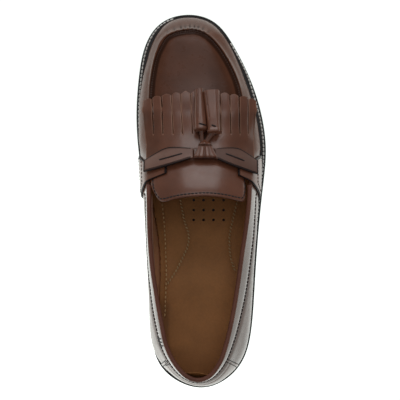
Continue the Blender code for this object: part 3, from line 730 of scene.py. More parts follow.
class Nodes:
    """Short hand for wiring one material's nodes."""

    NOISE_LOW = 0.3
    NOISE_HIGH = 0.7

    def __init__(self, name):
        self.made = bpy.data.materials.new(name)
        self.made.use_nodes = True
        self.tree = self.made.node_tree
        self.shader = self.tree.nodes["Principled BSDF"]
        self.place = self.add("ShaderNodeTexCoord").outputs["Object"]

    def add(self, kind, **settings):
        node = self.tree.nodes.new(kind)
        for name, value in settings.items():
            setattr(node, name, value)
        return node

    def link(self, output, socket):
        self.tree.links.new(output, socket)

    def fill(self, node, **numbers):
        """Set sockets of a node, named with _ for spaces."""
        for name, number in numbers.items():
            node.inputs[name.replace("_", " ")].default_value = number

    def noise(self, scale, detail=3.0, roughness=0.55):
        node = self.add("ShaderNodeTexNoise")
        self.link(self.place, node.inputs["Vector"])
        self.fill(node, Scale=scale, Detail=detail, Roughness=roughness)
        return node.outputs["Fac"]

    def cells(self, scale):
        node = self.add("ShaderNodeTexVoronoi")
        self.link(self.place, node.inputs["Vector"])
        self.fill(node, Scale=scale)
        return node.outputs["Distance"]

    def mapped(self, value, start, end, low=0.0, high=1.0):
        """Low to high as a value runs from start to end."""
        node = self.add("ShaderNodeMapRange")
        self.link(value, node.inputs["Value"])
        self.fill(node, From_Min=start, From_Max=end, To_Min=low, To_Max=high)
        return node.outputs["Result"]

    def roughen(self, scale, low, high):
        """Roughness that wanders from low to high with a noise."""
        wander = self.mapped(self.noise(scale), self.NOISE_LOW, self.NOISE_HIGH, low, high)
        self.link(wander, self.shader.inputs["Roughness"])

    def paint(self, colour):
        self.link(colour, self.shader.inputs["Base Color"])

    def tones(self, value, dark, light):
        """Colour that runs from dark to light with a value."""
        node = self.add("ShaderNodeValToRGB")
        self.link(value, node.inputs["Fac"])
        node.color_ramp.elements[0].position = self.NOISE_LOW
        node.color_ramp.elements[1].position = self.NOISE_HIGH
        node.color_ramp.elements[0].color = (*dark, 1.0)
        node.color_ramp.elements[1].color = (*light, 1.0)
        return node.outputs["Color"]

    def burnish_and_shade(self, colour, dark):
        """Darker colour where the piece's shade attribute asks for it: burnished dye and painted shade."""
        shade = self.add("ShaderNodeAttribute", attribute_name="shade")
        mix = self.add("ShaderNodeMix", data_type="RGBA")
        self.link(shade.outputs["Fac"], mix.inputs["Factor"])
        self.link(colour, mix.inputs["A"])
        mix.inputs["B"].default_value = (*dark, 1.0)
        return mix.outputs["Result"]

    def fade(self, clear, dark, socket):
        """Value of a shader socket that runs from clear to dark with the piece's dull attribute."""
        layer = self.add("ShaderNodeAttribute", attribute_name="dull")
        self.link(self.mapped(layer.outputs["Fac"], 0.0, 1.0, clear, dark), self.shader.inputs[socket])

    def raise_grain(self, height, strength, depth):
        node = self.add("ShaderNodeBump")
        self.fill(node, Strength=strength, Distance=depth)
        self.link(height, node.inputs["Height"])
        self.link(node.outputs["Normal"], self.shader.inputs["Normal"])

    def blend(self, first, second, share):
        node = self.add("ShaderNodeMix", data_type="FLOAT")
        node.inputs["Factor"].default_value = share
        self.link(first, node.inputs["A"])
        self.link(second, node.inputs["B"])
        return node.outputs["Result"]


def toned(colour, factor):
    return tuple(channel * factor for channel in colour)


def leather(name, colour, roughness, coat, coat_roughness, grain, shine=0.5):
    """Dyed leather: mottled dye, pores and fine wrinkles, a polish as coat."""
    nodes = Nodes(name)
    dye = nodes.tones(nodes.noise(70.0, 5.0), toned(colour, 0.86), toned(colour, 1.14))
    nodes.paint(nodes.burnish_and_shade(dye, toned(colour, 0.16)))
    nodes.roughen(180.0, roughness - 0.05, roughness + 0.06)
    pores = nodes.blend(nodes.cells(1500.0), nodes.noise(420.0, 6.0, 0.65), 0.55)
    nodes.raise_grain(pores, grain, 0.12 * MM)
    nodes.fade(shine, 0.04, "Specular IOR Level")
    nodes.fade(coat, 0.0, "Coat Weight")
    nodes.shader.inputs["Coat Roughness"].default_value = coat_roughness
    return nodes.made


def sock_leather(name, colour, roughness, grain):
    """Unpolished leather of insole and lining: cloudy tone and open grain."""
    nodes = Nodes(name)
    cloud = nodes.blend(nodes.noise(38.0, 4.0), nodes.noise(600.0, 4.0), 0.35)
    dye = nodes.tones(cloud, toned(colour, 0.80), toned(colour, 1.20))
    nodes.paint(nodes.burnish_and_shade(dye, toned(colour, 0.30)))
    nodes.roughen(300.0, roughness - 0.06, roughness + 0.06)
    nodes.raise_grain(nodes.blend(nodes.cells(1100.0), nodes.noise(900.0, 5.0), 0.5), grain, 0.15 * MM)
    nodes.shader.inputs["Specular IOR Level"].default_value = 0.2
    return nodes.made


def thread_finish(name, colour):
    """Waxed twisted thread."""
    nodes = Nodes(name)
    fibre = nodes.noise(2600.0, 2.0)
    nodes.paint(nodes.tones(fibre, toned(colour, 0.75), toned(colour, 1.2)))
    nodes.raise_grain(fibre, 0.5, 0.08 * MM)
    nodes.shader.inputs["Roughness"].default_value = 0.6
    return nodes.made


def moulded(name, colour, roughness, grain, shine=0.5):
    """Moulded rubber or painted edge: near black with a fine satin grain."""
    nodes = Nodes(name)
    nodes.shader.inputs["Specular IOR Level"].default_value = shine
    nodes.paint(nodes.tones(nodes.noise(90.0), toned(colour, 0.8), toned(colour, 1.3)))
    nodes.roughen(400.0, roughness - 0.06, roughness + 0.06)
    nodes.raise_grain(nodes.noise(1800.0, 4.0), grain, 0.06 * MM)
    return nodes.made


FINISHES = {}


class LOAFER_OT_finishes(bpy.types.Operator):
    """Make the leathers, threads, paint and rubber."""

    bl_idname = "loafer.finishes"
    bl_label = "Finishes"

    def execute(self, context):
        colours = context.scene.loafer_colours
        FINISHES["upper"] = leather("polished_upper", colours.upper, 0.30, 0.22, 0.16, 0.10)
        FINISHES["collar"] = leather("polished_collar", colours.upper, 0.28, 0.8, 0.14, 0.10)
        FINISHES["overlay"] = leather("polished_overlay", colours.overlay, 0.33, 0.35, 0.18, 0.14)
        FINISHES["wing"] = leather("satin_wing", colours.overlay, 0.5, 1.0, 0.5, 0.14)
        FINISHES["binding"] = leather("satin_binding", colours.binding, 0.5, 0.0, 0.3, 0.25, 0.28)
        FINISHES["raw"] = leather("raw_edge", colours.raw_edge, 0.45, 0.0, 0.3, 0.2)
        FINISHES["lining"] = sock_leather("lining_leather", colours.lining, 0.55, 0.25)
        FINISHES["footbed"] = sock_leather("insole_leather", colours.footbed, 0.55, 0.35)
        FINISHES["edge"] = moulded("edge_paint", colours.edge, 0.5, 0.15, 0.2)
        FINISHES["welt"] = moulded("welt_strip", colours.welt, 0.5, 0.3)
        FINISHES["rubber"] = moulded("sole_rubber", colours.rubber, 0.45, 0.3)
        FINISHES["pale_thread"] = thread_finish("welt_thread", colours.pale_thread)
        FINISHES["dark_thread"] = thread_finish("dark_thread", colours.dark_thread)
        FINISHES["tan_thread"] = thread_finish("tan_thread", colours.tan_thread)
        FINISHES["pad_thread"] = thread_finish("pad_thread", toned(colours.tan_thread, 0.68))
        return {"FINISHED"}


class LOAFER_OT_sole(bpy.types.Operator):
    """Outsole with tread, heel block with its top lift, and the welt with its stitch channel."""

    bl_idname = "loafer.sole"
    bl_label = "Sole"

    def outsole(self):
        piece = copy_node("outsole", "outsole_rubber", "rubber")
        crease_sharp(piece, 25.0, 0.7)
        round_off(piece, 3)
        points = read_points(piece)
        under = read_normals(piece)[:, 2] < -0.8
        margin = smooth((42.0 - np.abs(points[:, 0] + 4.0)) / 6.0)
        margin *= smooth((points[:, 1] - 12.0) / 8.0) * smooth((128.0 - points[:, 1]) / 10.0)
        ribs = 0.5 + 0.5 * np.cos(points[:, 1] * 2.0 * math.pi / RIB_PITCH)
        points[:, 2] += np.where(under, RIB_DEPTH * margin * ribs ** 2, 0.0)
        write_points(piece, points)
        finish(piece, "sole_rubber", "outsole")

    def heel(self):
        piece = copy_node("heel", "heel_rubber", "rubber")
        for height in (LIFT_LINE - 0.5, LIFT_LINE, LIFT_LINE + 0.5):
            with editing(piece):
                bpy.ops.mesh.bisect(plane_co=(0.0, 0.0, height * MM), plane_no=(0.0, 0.0, 1.0))
        points = read_points(piece)
        centre = np.array([0.0, -112.0])
        line = np.abs(points[:, 2] - LIFT_LINE) < 0.05
        points[line, :2] += (centre - points[line, :2]) * 0.012
        write_points(piece, points)
        crease_sharp(piece, 40.0, 0.8)
        round_off(piece, 2)
        finish(piece, "sole_rubber", "heel")

    def welt(self, sizes):
        piece = copy_node("welt", "welt_leather", "welt")
        crease_sharp(piece, 55.0, 0.6)
        round_off(piece, 3)
        points = read_points(piece)
        line, out = plan_line(SOLE_PLAN, np.linspace(0.0, 2.0, 1200, endpoint=False))
        away, _ = distance_to(points[:, :2], line - out * (sizes.welt_inset / MM))
        upper_side = read_normals(piece)[:, 2] > 0.5
        points[:, 2] -= np.where(upper_side, 0.3 * bump(away, 0.75), 0.0)
        write_points(piece, points)
        finish(piece, "welt_strip", "welt")

    def execute(self, context):
        self.outsole()
        self.heel()
        self.welt(context.scene.loafer_sizes)
        return {"FINISHED"}


class LOAFER_OT_insole(bpy.types.Operator):
    """Padded sock: dished heel, arch pad, quilted lines and pierced air holes."""

    bl_idname = "loafer.insole"
    bl_label = "Insole"

    def holes(self):
        """Joined rods that pierce the sock; the holes' walls take their black edge paint as painted shade."""
        rods = []
        for across in HOLE_ACROSS:
            for along in HOLE_ALONG:
                rods.append(new_piece(
                    "air_hole", bpy.ops.mesh.primitive_cylinder_add, vertices=16, radius=HOLE_RADIUS * MM,
                    depth=12.0 * MM, location=(across * MM, along * MM, 21.0 * MM)))
        bpy.ops.object.select_all(action="DESELECT")
        for rod in rods:
            rod.select_set(True)
        bpy.context.view_layer.objects.active = rods[0]
        bpy.ops.object.join()
        cutter = bpy.context.object
        dress(cutter, "edge")
        return cutter

    def execute(self, context):
        piece = copy_node("insole", "insole_sock", "footbed")
        apply_modifier(piece, "REMESH", mode="VOXEL", voxel_size=1.2 * MM)
        apply_modifier(piece, "SMOOTH", factor=0.5, iterations=6)
        points = read_points(piece)
        normals = read_normals(piece)
        top = normals[:, 2] > 0.4
        points[:, :2] += normals[:, :2] * 0.9
        across, along = points[:, 0], points[:, 1]
        heel_dish = bump(np.hypot((across + 3.0) / 24.0, (along + 104.0) / 40.0), 1.0)
        arch_pad = smooth((-across - 12.0) / 16.0) * bump((along + 34.0) / 36.0, 1.0)
        shift = -1.3 * heel_dish + 1.4 * arch_pad
        stations = np.arange(-140.0, 130.0, 2.0)
        edges = [across[np.abs(along - station) < 1.6].min() for station in stations]
        inside = across - np.interp(along, stations, edges)
        cup = smooth((along + 100.0) / 30.0) * smooth((30.0 - along) / 20.0)
        shift += 2.6 * cup * smooth(1.0 - inside / 5.0)
        points[:, 0] -= 1.0 * cup * smooth(1.0 - inside / 4.0)
        # Painted shade: darker at the back of the heel, at the front under the tongue, and along the sock's
        # edge by the medial heel.
        shade = 0.25 * smooth((-112.0 - along) / 14.0) + 0.12 * smooth((along + 34.0) / 22.0)
        shade += 0.45 * smooth((10.0 - inside) / 3.0) * smooth((-75.0 - along) / 15.0)
        quilting = ((ARCH_LINE, 120, 1.0), (PAD_MEDIAL, 140, 1.7), (PAD_LATERAL, 120, 1.7))
        for line, count, width in quilting:
            away, _ = distance_to(points[:, :2], curve_through(line, count))
            shift -= 0.55 * bump(away, width)
            # Painted shade in the quilted grooves.
            shade += 0.25 * bump(away, width)
        points[:, 2] += np.where(top, shift, 0.0)
        write_points(piece, points)
        write_shade(piece, shade)
        cutter = self.holes()
        apply_modifier(piece, "BOOLEAN", operation="DIFFERENCE", object=cutter, solver="EXACT",
                       material_mode="TRANSFER")
        bpy.data.objects.remove(cutter)
        pick(piece)
        bpy.ops.object.shade_smooth_by_angle(angle=math.radians(50.0))
        finish(piece, "footbed_leather", "insole")
        return {"FINISHED"}


def by_side(table, place, out_x):
    """Value of a table with a medial and a lateral column at places along the shoe."""
    along, medial, lateral = np.transpose(table)
    return np.where(out_x < 0.0, np.interp(place, along, medial), np.interp(place, along, lateral))


def round_heel(line, out, index, share):
    """Level moves that round the heel's opening, fading down the wall."""
    place = line[index, 1]
    reach = np.interp(place, (-135.0, -122.0), (0.7, 0.4))
    amount = by_side(HEEL_ROUND, place, out[index, 0]) * smooth((reach - share) / (0.9 * reach))
    return out[index] * amount[:, None]


def collar_drop(turn):
    """Drop of the collar's stitch line below the top line: deeper along the lateral side."""
    turn = np.where(turn > 1.0, turn - 2.0, turn)
    drop = bpy.context.scene.loafer_sizes.collar_drop / MM
    deeper = 4.2 * smooth((turn - 0.1) / 0.22) + 2.5 * smooth((turn - 0.3) / 0.12)
    return drop + deeper - 1.3 * bump(turn + 0.16, 0.07)


def swell(piece, whole, settle=0.0):
    """Side walls in front, full walls round the rear, padded collar."""
    points = read_points(piece)
    line, out = plan_line(TOP_PLAN, RING_TURNS)
    _, index = distance_to(points[:, :2], line)
    turn = RING_TURNS[index]
    top = TOP_Z(RING_TURNS)[index]
    drop = top - points[:, 2]
    share = np.clip(drop / (top - WELT_TOP), 0.0, 1.0)
    facing = np.sum(read_normals(piece)[:, :2] * out[index], axis=1)
    outer = np.ones(len(points)) if whole else smooth((facing - 0.05) / 0.3)
    low = smooth((share - 0.55) / 0.25)
    wall = by_side(FRONT_WALL, points[:, 1], out[index, 0]) * smooth(share / 0.4) * np.maximum(outer, low)
    rear = np.interp(turn, *np.transpose(FULLNESS))
    quarter = rear * smooth(share / 0.5) * smooth((1.0 - share) / 0.3)
    points[:, :2] += out[index] * (wall + outer * quarter)[:, None]
    padded = smooth((8.0 - line[index, 1]) / 10.0)
    below = drop - collar_drop(turn)
    depth = np.where(turn < 1.0, 1.1 - 0.6 * smooth((turn - 0.22) / 0.14), 0.8)
    trough = depth * padded * bump(below, np.where(below < 0.0, 3.2, 2.2))
    sunk = settle * (1.0 + 0.8 * smooth(1.0 - (drop - drop.min()) / 3.0))
    points[:, :2] -= out[index] * (outer * trough + sunk)[:, None]
    points[:, :2] += round_heel(line, out, index, share)
    write_points(piece, points)


def looks_out(points, normals):
    """How far each normal of the upper points away from the middle of the foot."""
    spine = np.stack([
        np.interp(points[:, 1], (-150.0, 40.0, 150.0), (-1.0, -1.0, -9.0)),
        np.clip(points[:, 1], -112.0, 105.0),
        np.full(len(points), 26.0),
    ], axis=1)
    return np.sum(normals * (points - spine), axis=1)


def seam_line(turns):
    """Apron seam in plan and its outward directions: set in a little at the medial corner of the toe."""
    line, out = plan_line(TOP_PLAN, turns)
    inset = 1.5 * bump(line[:, 1] - 127.0, 8.0) * (turns > 1.0)
    return line - out * inset[:, None], out


class LOAFER_OT_upper(bpy.types.Operator):
    """Upper in one shell: lip and gathers at the apron seam, lining inside, counter at the heel."""

    bl_idname = "loafer.upper"
    bl_label = "Upper"

    def seam(self, piece, sizes):
        """Lip along the apron seam, toe gathers, and the darkening of both: dark dye and painted shade."""
        points = read_points(piece)
        normals = read_normals(piece)
        line, out = seam_line(np.linspace(0.6, 1.4, 900))
        near = np.flatnonzero((points[:, 1] > 62.0) & (normals[:, 2] > 0.0) & (points[:, 2] > 22.0))
        away, index = distance_to(points[near, :2], line)
        inside = -np.sum((points[near, :2] - line[index]) * out[index], axis=1)
        inside = np.copysign(away, inside)
        shown = smooth((points[near, 1] - 66.0) / 16.0)
        lift = sizes.seam_ridge / MM * bump(inside, 0.9) * shown
        band = sizes.seam_band / MM
        lift += 0.25 * smooth((inside - band + 0.3) / 1.4) * bump((inside - band - 1.0) / 8.0, 1.0) * shown
        # Painted shade, partly dark dye, over the seam's band, and painted shade over the plug's lateral
        # half.
        shade = 0.8 * smooth((inside + 0.2) / 0.8) - 0.65 * smooth((inside - band - 0.2) / 1.3)
        shade += 0.25 * smooth((points[near, 0] + 8.0) / 26.0) * smooth((inside - band) / 6.0)
        shade *= shown
        reach = np.where(inside < 0.0, smooth(1.0 + inside / 6.5), smooth(1.0 - inside / 1.4))
        front = smooth((line[index, 1] - 118.0) / 12.0)
        for gather in GATHERS:
            pleat = bump(line[index, 0] - gather.across, 0.8) * reach * front
            lift -= gather.depth * pleat
            # Painted shade in the creases of the gathers.
            tick_shade = bump(line[index, 0] - gather.across, 0.7) * bump(inside + 2.6, 1.5) * front
            shade = np.maximum(shade, 1.7 * gather.depth * tick_shade)
            lift += 0.5 * gather.depth * bump(line[index, 0] - gather.across - 1.6, 0.9) * reach * front
        points[near] += normals[near] * lift[:, None]
        write_points(piece, points)
        outside = looks_out(points, normals) > 0.0
        across, along = points[:, 0], points[:, 1]
        # Painted shadow on the lining inside the heel; outside, the rear quarters' dye is darker.
        heel_shadow = (0.25 + 0.3 * smooth((-1.0 - across) / 10.0)) * smooth((-92.0 - along) / 16.0)
        burnish_and_shade = np.where(outside, 0.25 * smooth(-along / 20.0), heel_shadow)
        burnish_and_shade[near] = shade
        lateral = np.maximum(0.3 * smooth((along + 80.0) / 40.0), smooth((along - 24.0) / 16.0))
        dull = np.where(across > -5.0, lateral, 0.92 * smooth((along - 28.0) / 14.0))
        dull *= 1.0 - 0.85 * smooth((along - 132.0) / 12.0)
        plug = np.maximum(0.55, 0.95 - 0.05 * (inside - band)) + 0.25 * smooth((points[near, 0] - 2.0) / 14.0)
        dull[near] = np.maximum(np.where(inside > band, plug, dull[near]), shade)
        write_shade(piece, burnish_and_shade, dull)

    def line_inside(self, piece):
        """Lining on the faces inside, black edge paint as painted shadow behind the heel's lining, polish on
        the collar's band.
        """
        count = len(piece.data.polygons)
        middles = np.empty(count * 3)
        normals = np.empty(count * 3)
        piece.data.polygons.foreach_get("center", middles)
        piece.data.polygons.foreach_get("normal", normals)
        middles = middles.reshape(-1, 3) / MM
        normals = normals.reshape(-1, 3)
        groove = (middles[:, 1] > 55.0) & (middles[:, 2] > 26.0) & (normals[:, 2] > 0.05)
        lined = (looks_out(middles, normals) < 0.0) & ~groove
        # Painted shadow: the faces in the gap behind the heel's lining take the black edge paint.
        shadow_pocket = lined & (middles[:, 1] < -128.0) & (np.abs(middles[:, 0] + 3.0) < 14.0)
        shadow_pocket &= np.abs(middles[:, 2] - 67.2) < 12.2
        turns = np.linspace(-0.6, 0.6, 1200)
        line, _ = plan_line(TOP_PLAN, turns)
        _, index = distance_to(middles[:, :2], line)
        drop = TOP_Z(turns)[index] - middles[:, 2]
        band = ~lined & (middles[:, 1] < 8.0) & (drop < collar_drop(turns[index]))
        piece.data.polygons.foreach_set("material_index", lined.astype(np.int32) + shadow_pocket + 3 * band)

    def execute(self, context):
        piece = copy_node("upper", "upper_leather", "upper", "lining", "edge", "collar")
        crease_sharp(piece, CUT_ANGLE, 1.0)
        round_off(piece, 3)
        swell(piece, False)
        self.seam(piece, context.scene.loafer_sizes)
        self.line_inside(piece)
        finish(piece, "upper_leather", "upper")
        counter = copy_node("heel_counter", "counter_leather", "upper")
        crease_sharp(counter, CUT_ANGLE, 0.5)
        round_off(counter, 2)
        swell(counter, True, 1.1)
        finish(counter, "upper_leather", "heel_counter")
        return {"FINISHED"}


class LOAFER_OT_seam_strip(bpy.types.Operator):
    """Folded strip that lies in the groove of the apron seam."""

    bl_idname = "loafer.seam_strip"
    bl_label = "Seam strip"

    def execute(self, context):
        carrier = Carrier("upper_leather")
        turns = np.linspace(0.735, 1.265, 361)
        line, out = seam_line(turns)
        floor, _ = carrier.from_above(line - out * 1.8)
        floor[:, 2] = np.convolve(np.pad(floor[:, 2], 6, mode="edge"), np.ones(13) / 13.0, mode="valid")
        section = ((0.8, -0.8), (1.0, 0.0), (1.3, 0.3), (1.8, 0.4), (2.3, 0.28), (2.6, 0.0), (2.8, -0.8))
        piece = new_piece(
            "apron_seam_strip", bpy.ops.mesh.primitive_grid_add,
            x_subdivisions=len(turns) - 1, y_subdivisions=len(section) - 1, size=1.0)
        grid = read_points(piece) * MM
        step = np.rint((grid[:, 0] + 0.5) * (len(turns) - 1)).astype(int)
        row = np.rint((grid[:, 1] + 0.5) * (len(section) - 1)).astype(int)
        profile = np.array(section)
        pucker = 0.14 * np.sin(np.arange(len(turns)) * 2.0 * math.pi / 4.5)
        points = np.empty_like(grid)
        points[:, :2] = line[step] - out[step] * profile[row, 0][:, None]
        points[:, 2] = floor[step, 2] + profile[row, 1] + pucker[step] * (profile[row, 1] > 0.3)
        write_points(piece, points)
        with editing(piece):
            bpy.ops.mesh.normals_make_consistent(inside=False)
        face_along(piece, 2)
        # The strip's dark dye with painted shade of the seam's recess, darker in the creases of its puckers.
        write_shade(piece, 0.76 - 1.1 * pucker[step])
        apply_modifier(piece, "SOLIDIFY", thickness=0.3 * MM, offset=-1.0)
        bpy.ops.object.shade_smooth()
        dress(piece, "upper")
        finish(piece, "upper_leather")
        return {"FINISHED"}


class LOAFER_OT_collar(bpy.types.Operator):
    """Rolled collar edge, and the heel lining that stands off it."""

    bl_idname = "loafer.collar"
    bl_label = "Collar"

    def heel_lining(self):
        """Lining at the heel: its top edge hangs clear of the wall."""
        carrier = Carrier("upper_leather")
        piece = new_piece(
            "heel_lining", bpy.ops.mesh.primitive_grid_add, x_subdivisions=24, y_subdivisions=8, size=1.0)
        grid = read_points(piece) * MM
        points = np.empty_like(grid)
        for index, (across, up, _) in enumerate(grid):
            turn = across * 0.138 - 0.005
            rise = up + 0.5
            edge = (1.0 - (2.0 * across) ** 2) ** 1.4
            place, normal = carrier.from_side([turn], [32.0 - 27.0 * rise], carrier.DEEP_INSIDE)
            points[index] = place[0] + normal[0] * (0.6 + 5.7 * edge * rise ** 2)
        write_points(piece, points)
        face_along(piece, 1)
        apply_modifier(piece, "SOLIDIFY", thickness=0.8 * MM, offset=-1.0)
        round_off(piece, 1)
        dress(piece, "footbed")
        finish(piece, "footbed_leather")

    def execute(self, context):
        piece = copy_node("collar_binding", "collar_roll", "binding")
        crease_sharp(piece, 80.0, 0.8)
        round_off(piece, 2)
        points = read_points(piece)
        line, out = plan_line(TOP_PLAN, RING_TURNS)
        _, index = distance_to(points[:, :2], line)
        points[:, :2] += round_heel(line, out, index, np.zeros(len(points)))
        write_points(piece, points)
        finish(piece, "binding_leather", "collar_binding")
        self.heel_lining()
        return {"FINISHED"}


class LOAFER_OT_tongue(bpy.types.Operator):
    """Tongue with a rounded edge."""

    bl_idname = "loafer.tongue"
    bl_label = "Tongue"

    def execute(self, context):
        piece = copy_node("tongue", "tongue_leather", "overlay")
        round_off(piece, 3)
        points = read_points(piece)
        top = smooth(read_normals(piece)[:, 2] / 0.4)
        points[:, 0] -= 2.2 * smooth((points[:, 1] - 2.0) / 10.0) * smooth((-points[:, 0] - 20.0) / 12.0)
        line = curve_through(TONGUE_LINE, 300)
        away, index = distance_to(points[:, :2], line)
        centre = np.array([-1.0, 26.0])
        beyond = np.linalg.norm(points[:, :2] - centre, axis=1) > np.linalg.norm(line[index] - centre, axis=1)
        lip = np.where(beyond & (points[:, 1] < 19.0), np.minimum(away, 3.0), 0.0)
        points[:, 2] -= top * (0.35 * bump(away, 0.8) + 0.16 * lip ** 2)
        write_points(piece, points)
        finish(piece, "overlay_leather", "tongue")
        return {"FINISHED"}


class LOAFER_OT_kiltie(bpy.types.Operator):
    """Fringed kiltie; every strip has its own rise, tilt and shift."""

    bl_idname = "loafer.kiltie"
    bl_label = "Kiltie"

    def execute(self, context):
        piece = copy_node("kiltie", "kiltie_leather", "overlay", "raw")
        paint_edges(piece, 0.3 * MM)
        round_off(piece, 2)
        points = read_points(piece)
        share = np.clip((points[:, 1] - FRINGE_ROOT) / (FRINGE_TIP - FRINGE_ROOT), 0.0, 1.0)
        middle = (FRINGE_MEDIAL + FRINGE_LATERAL) / 2.0
        level = middle + (points[:, 0] - middle) / (1.0 + (FRINGE_SPREAD - 1.0) * share)
        pitch = (FRINGE_LATERAL - FRINGE_MEDIAL) / len(STRIPS)
        number = np.clip(((level - FRINGE_MEDIAL) / pitch).astype(int), 0, len(STRIPS) - 1)
        side = (level - FRINGE_MEDIAL) / pitch - number - 0.5
        table = np.array(STRIPS)
        free = smooth(share * 1.3)
        cuts = np.transpose(FRINGE_CUTS)
        even = np.linspace(FRINGE_MEDIAL, FRINGE_LATERAL, len(STRIPS) + 1)
        roots = np.interp(level, even, cuts[0]) + level - np.clip(level, even[0], even[-1])
        fan = np.interp(level, even, cuts[1] - cuts[0]) * share
        points[:, 0] += (roots + fan - points[:, 0]) * smooth((points[:, 1] - 43.0) / 8.0)
        crown = context.scene.loafer_sizes.strip_crown / MM
        points[:, 2] += table[number, 0] * share ** 2 + table[number, 1] * side * 2.0 * free
        points[:, 2] -= crown * (2.0 * side) ** 2 * smooth(share * 3.0)
        points[:, 2] -= 0.45 * bump(points[:, 1] - FRINGE_BEND, 4.8)
        points[:, 0] += table[number, 2] * side * smooth(share * 4.0)
        points[:, 0] += (1.1 + 0.6 * (number < 3)) * side * bump(points[:, 1] - FRINGE_BEND, 3.2)
        points[:, 1] -= 0.4 * (2.0 * np.abs(side)) ** 6 * smooth((share - 0.80) / 0.20)
        write_points(piece, points)
        # Painted shade along the cuts between the strips, fading out at the bend.
        shade = 0.3 * smooth((np.abs(side) - 0.44) / 0.06) * smooth(share * 6.0) * smooth((0.8 - share) / 0.3)
        shade *= 1.0 - bump(points[:, 1] - FRINGE_BEND, 3.5)
        # Painted shade on the strips at both sides and on the eleventh strip.
        outer = np.maximum(smooth((points[:, 0] - 16.0) / 12.0), smooth((-28.0 - points[:, 0]) / 10.0))
        shade += 0.27 * outer * smooth((74.0 - points[:, 1]) / 6.0) + 0.2 * (number == 10) * share
        # Painted shadow on the kiltie under the tassels' caps.
        reach = 3.5 + 0.75 * (points[:, 1] - 46.0) - np.abs(points[:, 0] - 3.6)
        under = smooth((points[:, 1] - 45.5) / 3.0) * smooth((56.5 - points[:, 1]) / 2.0)
        under *= smooth(reach / 2.5)
        write_shade(piece, np.maximum(shade, 0.75 * under))
        finish(piece, "overlay_leather", "kiltie")
        return {"FINISHED"}


class LOAFER_OT_straps(bpy.types.Operator):
    """Saddle straps that climb the walls on both sides."""

    bl_idname = "loafer.straps"
    bl_label = "Saddle straps"

    def execute(self, context):
        for side in ("medial", "lateral"):
            piece = copy_node("saddle_strap_" + side, f"strap_{side}_leather", "overlay", "edge")
            paint_edges(piece, 0.2 * MM)
            round_off(piece, 2)
            # Darkening along the painted edges, partly painted shade.
            shade = shade_edges(piece, 0.5, 0.6)
            steep = smooth((0.6 - read_normals(piece)[:, 2]) / 0.3)
            write_shade(piece, shade, np.maximum(shade, 0.4 * steep))
            finish(piece, "overlay_leather", "saddle_strap_" + side)
        return {"FINISHED"}


class LOAFER_OT_bow(bpy.types.Operator):
    """Flat bow: two wings with painted edges, the band between them and the knot over it."""

    bl_idname = "loafer.bow"
    bl_label = "Bow"

    def crown(self, piece, tilt):
        """Full middle of a wing with bare inner end; its front edge tilts up, or down if tilt is negative."""
        for face in piece.data.polygons:
            if -9.0 < face.center[0] / MM < 13.4:
                face.material_index = 0
        points = read_points(piece)
        slope, start = np.polyfit(points[:, 0], points[:, 1], 1)
        place = np.clip((points[:, 1] - slope * points[:, 0] - start) / 6.0, -1.0, 1.0)
        points[:, 2] += 0.4 * (1.0 - place ** 2) + abs(tilt) * (1.0 + math.copysign(1.0, tilt) * place)
        write_points(piece, points)

    def knot(self):
        piece = copy_node("tassel_knot", "knot_leather", "overlay")
        round_off(piece, 3)
        points = read_points(piece)
        top = np.where(read_normals(piece)[:, 2] > 0.1, 1.0, 0.0)
        across, along = points[:, 0] - 2.7, points[:, 1]
        wrap = smooth((43.4 - along) / 1.2)
        folds = 0.8 * bump(across, 0.5) + 0.5 * bump(across + 2.6, 0.45) + 0.5 * bump(across - 2.4, 0.45)
        edge = bump(along - 43.3, 0.6)
        hood = np.clip((along - 43.3) / (along.max() - 43.3), 0.0, 1.0)
        flare = 1.25 + 0.8 * smooth((43.0 - along) / 10.5)
        points[:, 2] -= top * (wrap * folds + 0.8 * edge)
        points[:, 2] -= 0.35 * wrap * np.maximum(np.abs(across) - 2.0, 0.0)
        points[:, 2] += top * 1.2 * smooth(hood * 2.0) * bump(across, 2.4)
        points[:, 0] = 2.7 + across * flare * (1.0 - 0.7 * hood ** 1.5)
        points[:, 1] += (47.8 - along.max()) * hood
        write_points(piece, points)
        # Painted shade in the wrap's folds and in the crease at the hood's base.
        write_shade(piece, top * (0.45 * wrap * folds + 0.85 * edge))
        finish(piece, "overlay_leather", "tassel_knot")

    def execute(self, context):
        for wing in WINGS:
            piece = copy_node("bow_wing_" + wing.side, f"wing_{wing.side}_leather", "wing", "edge")
            paint_edges(piece, 0.26 * MM)
            round_off(piece, 2)
            self.crown(piece, wing.tilt)
            # Painted shade along the painted edges, and over the whole lateral wing through its darker dye.
            edges = shade_edges(piece, 1.0, 0.85)
            write_shade(piece, np.maximum(edges, wing.dye), np.maximum(edges, wing.dull))
            finish(piece, "overlay_leather", "bow_wing_" + wing.side)
        band = copy_node("bow_centre", "bow_band_leather", "overlay")
        crease_sharp(band, CUT_ANGLE, 0.6)
        round_off(band, 2)
        write_shade(band, np.full(len(band.data.vertices), 0.35))
        finish(band, "overlay_leather", "bow_centre")
        self.knot()
        return {"FINISHED"}


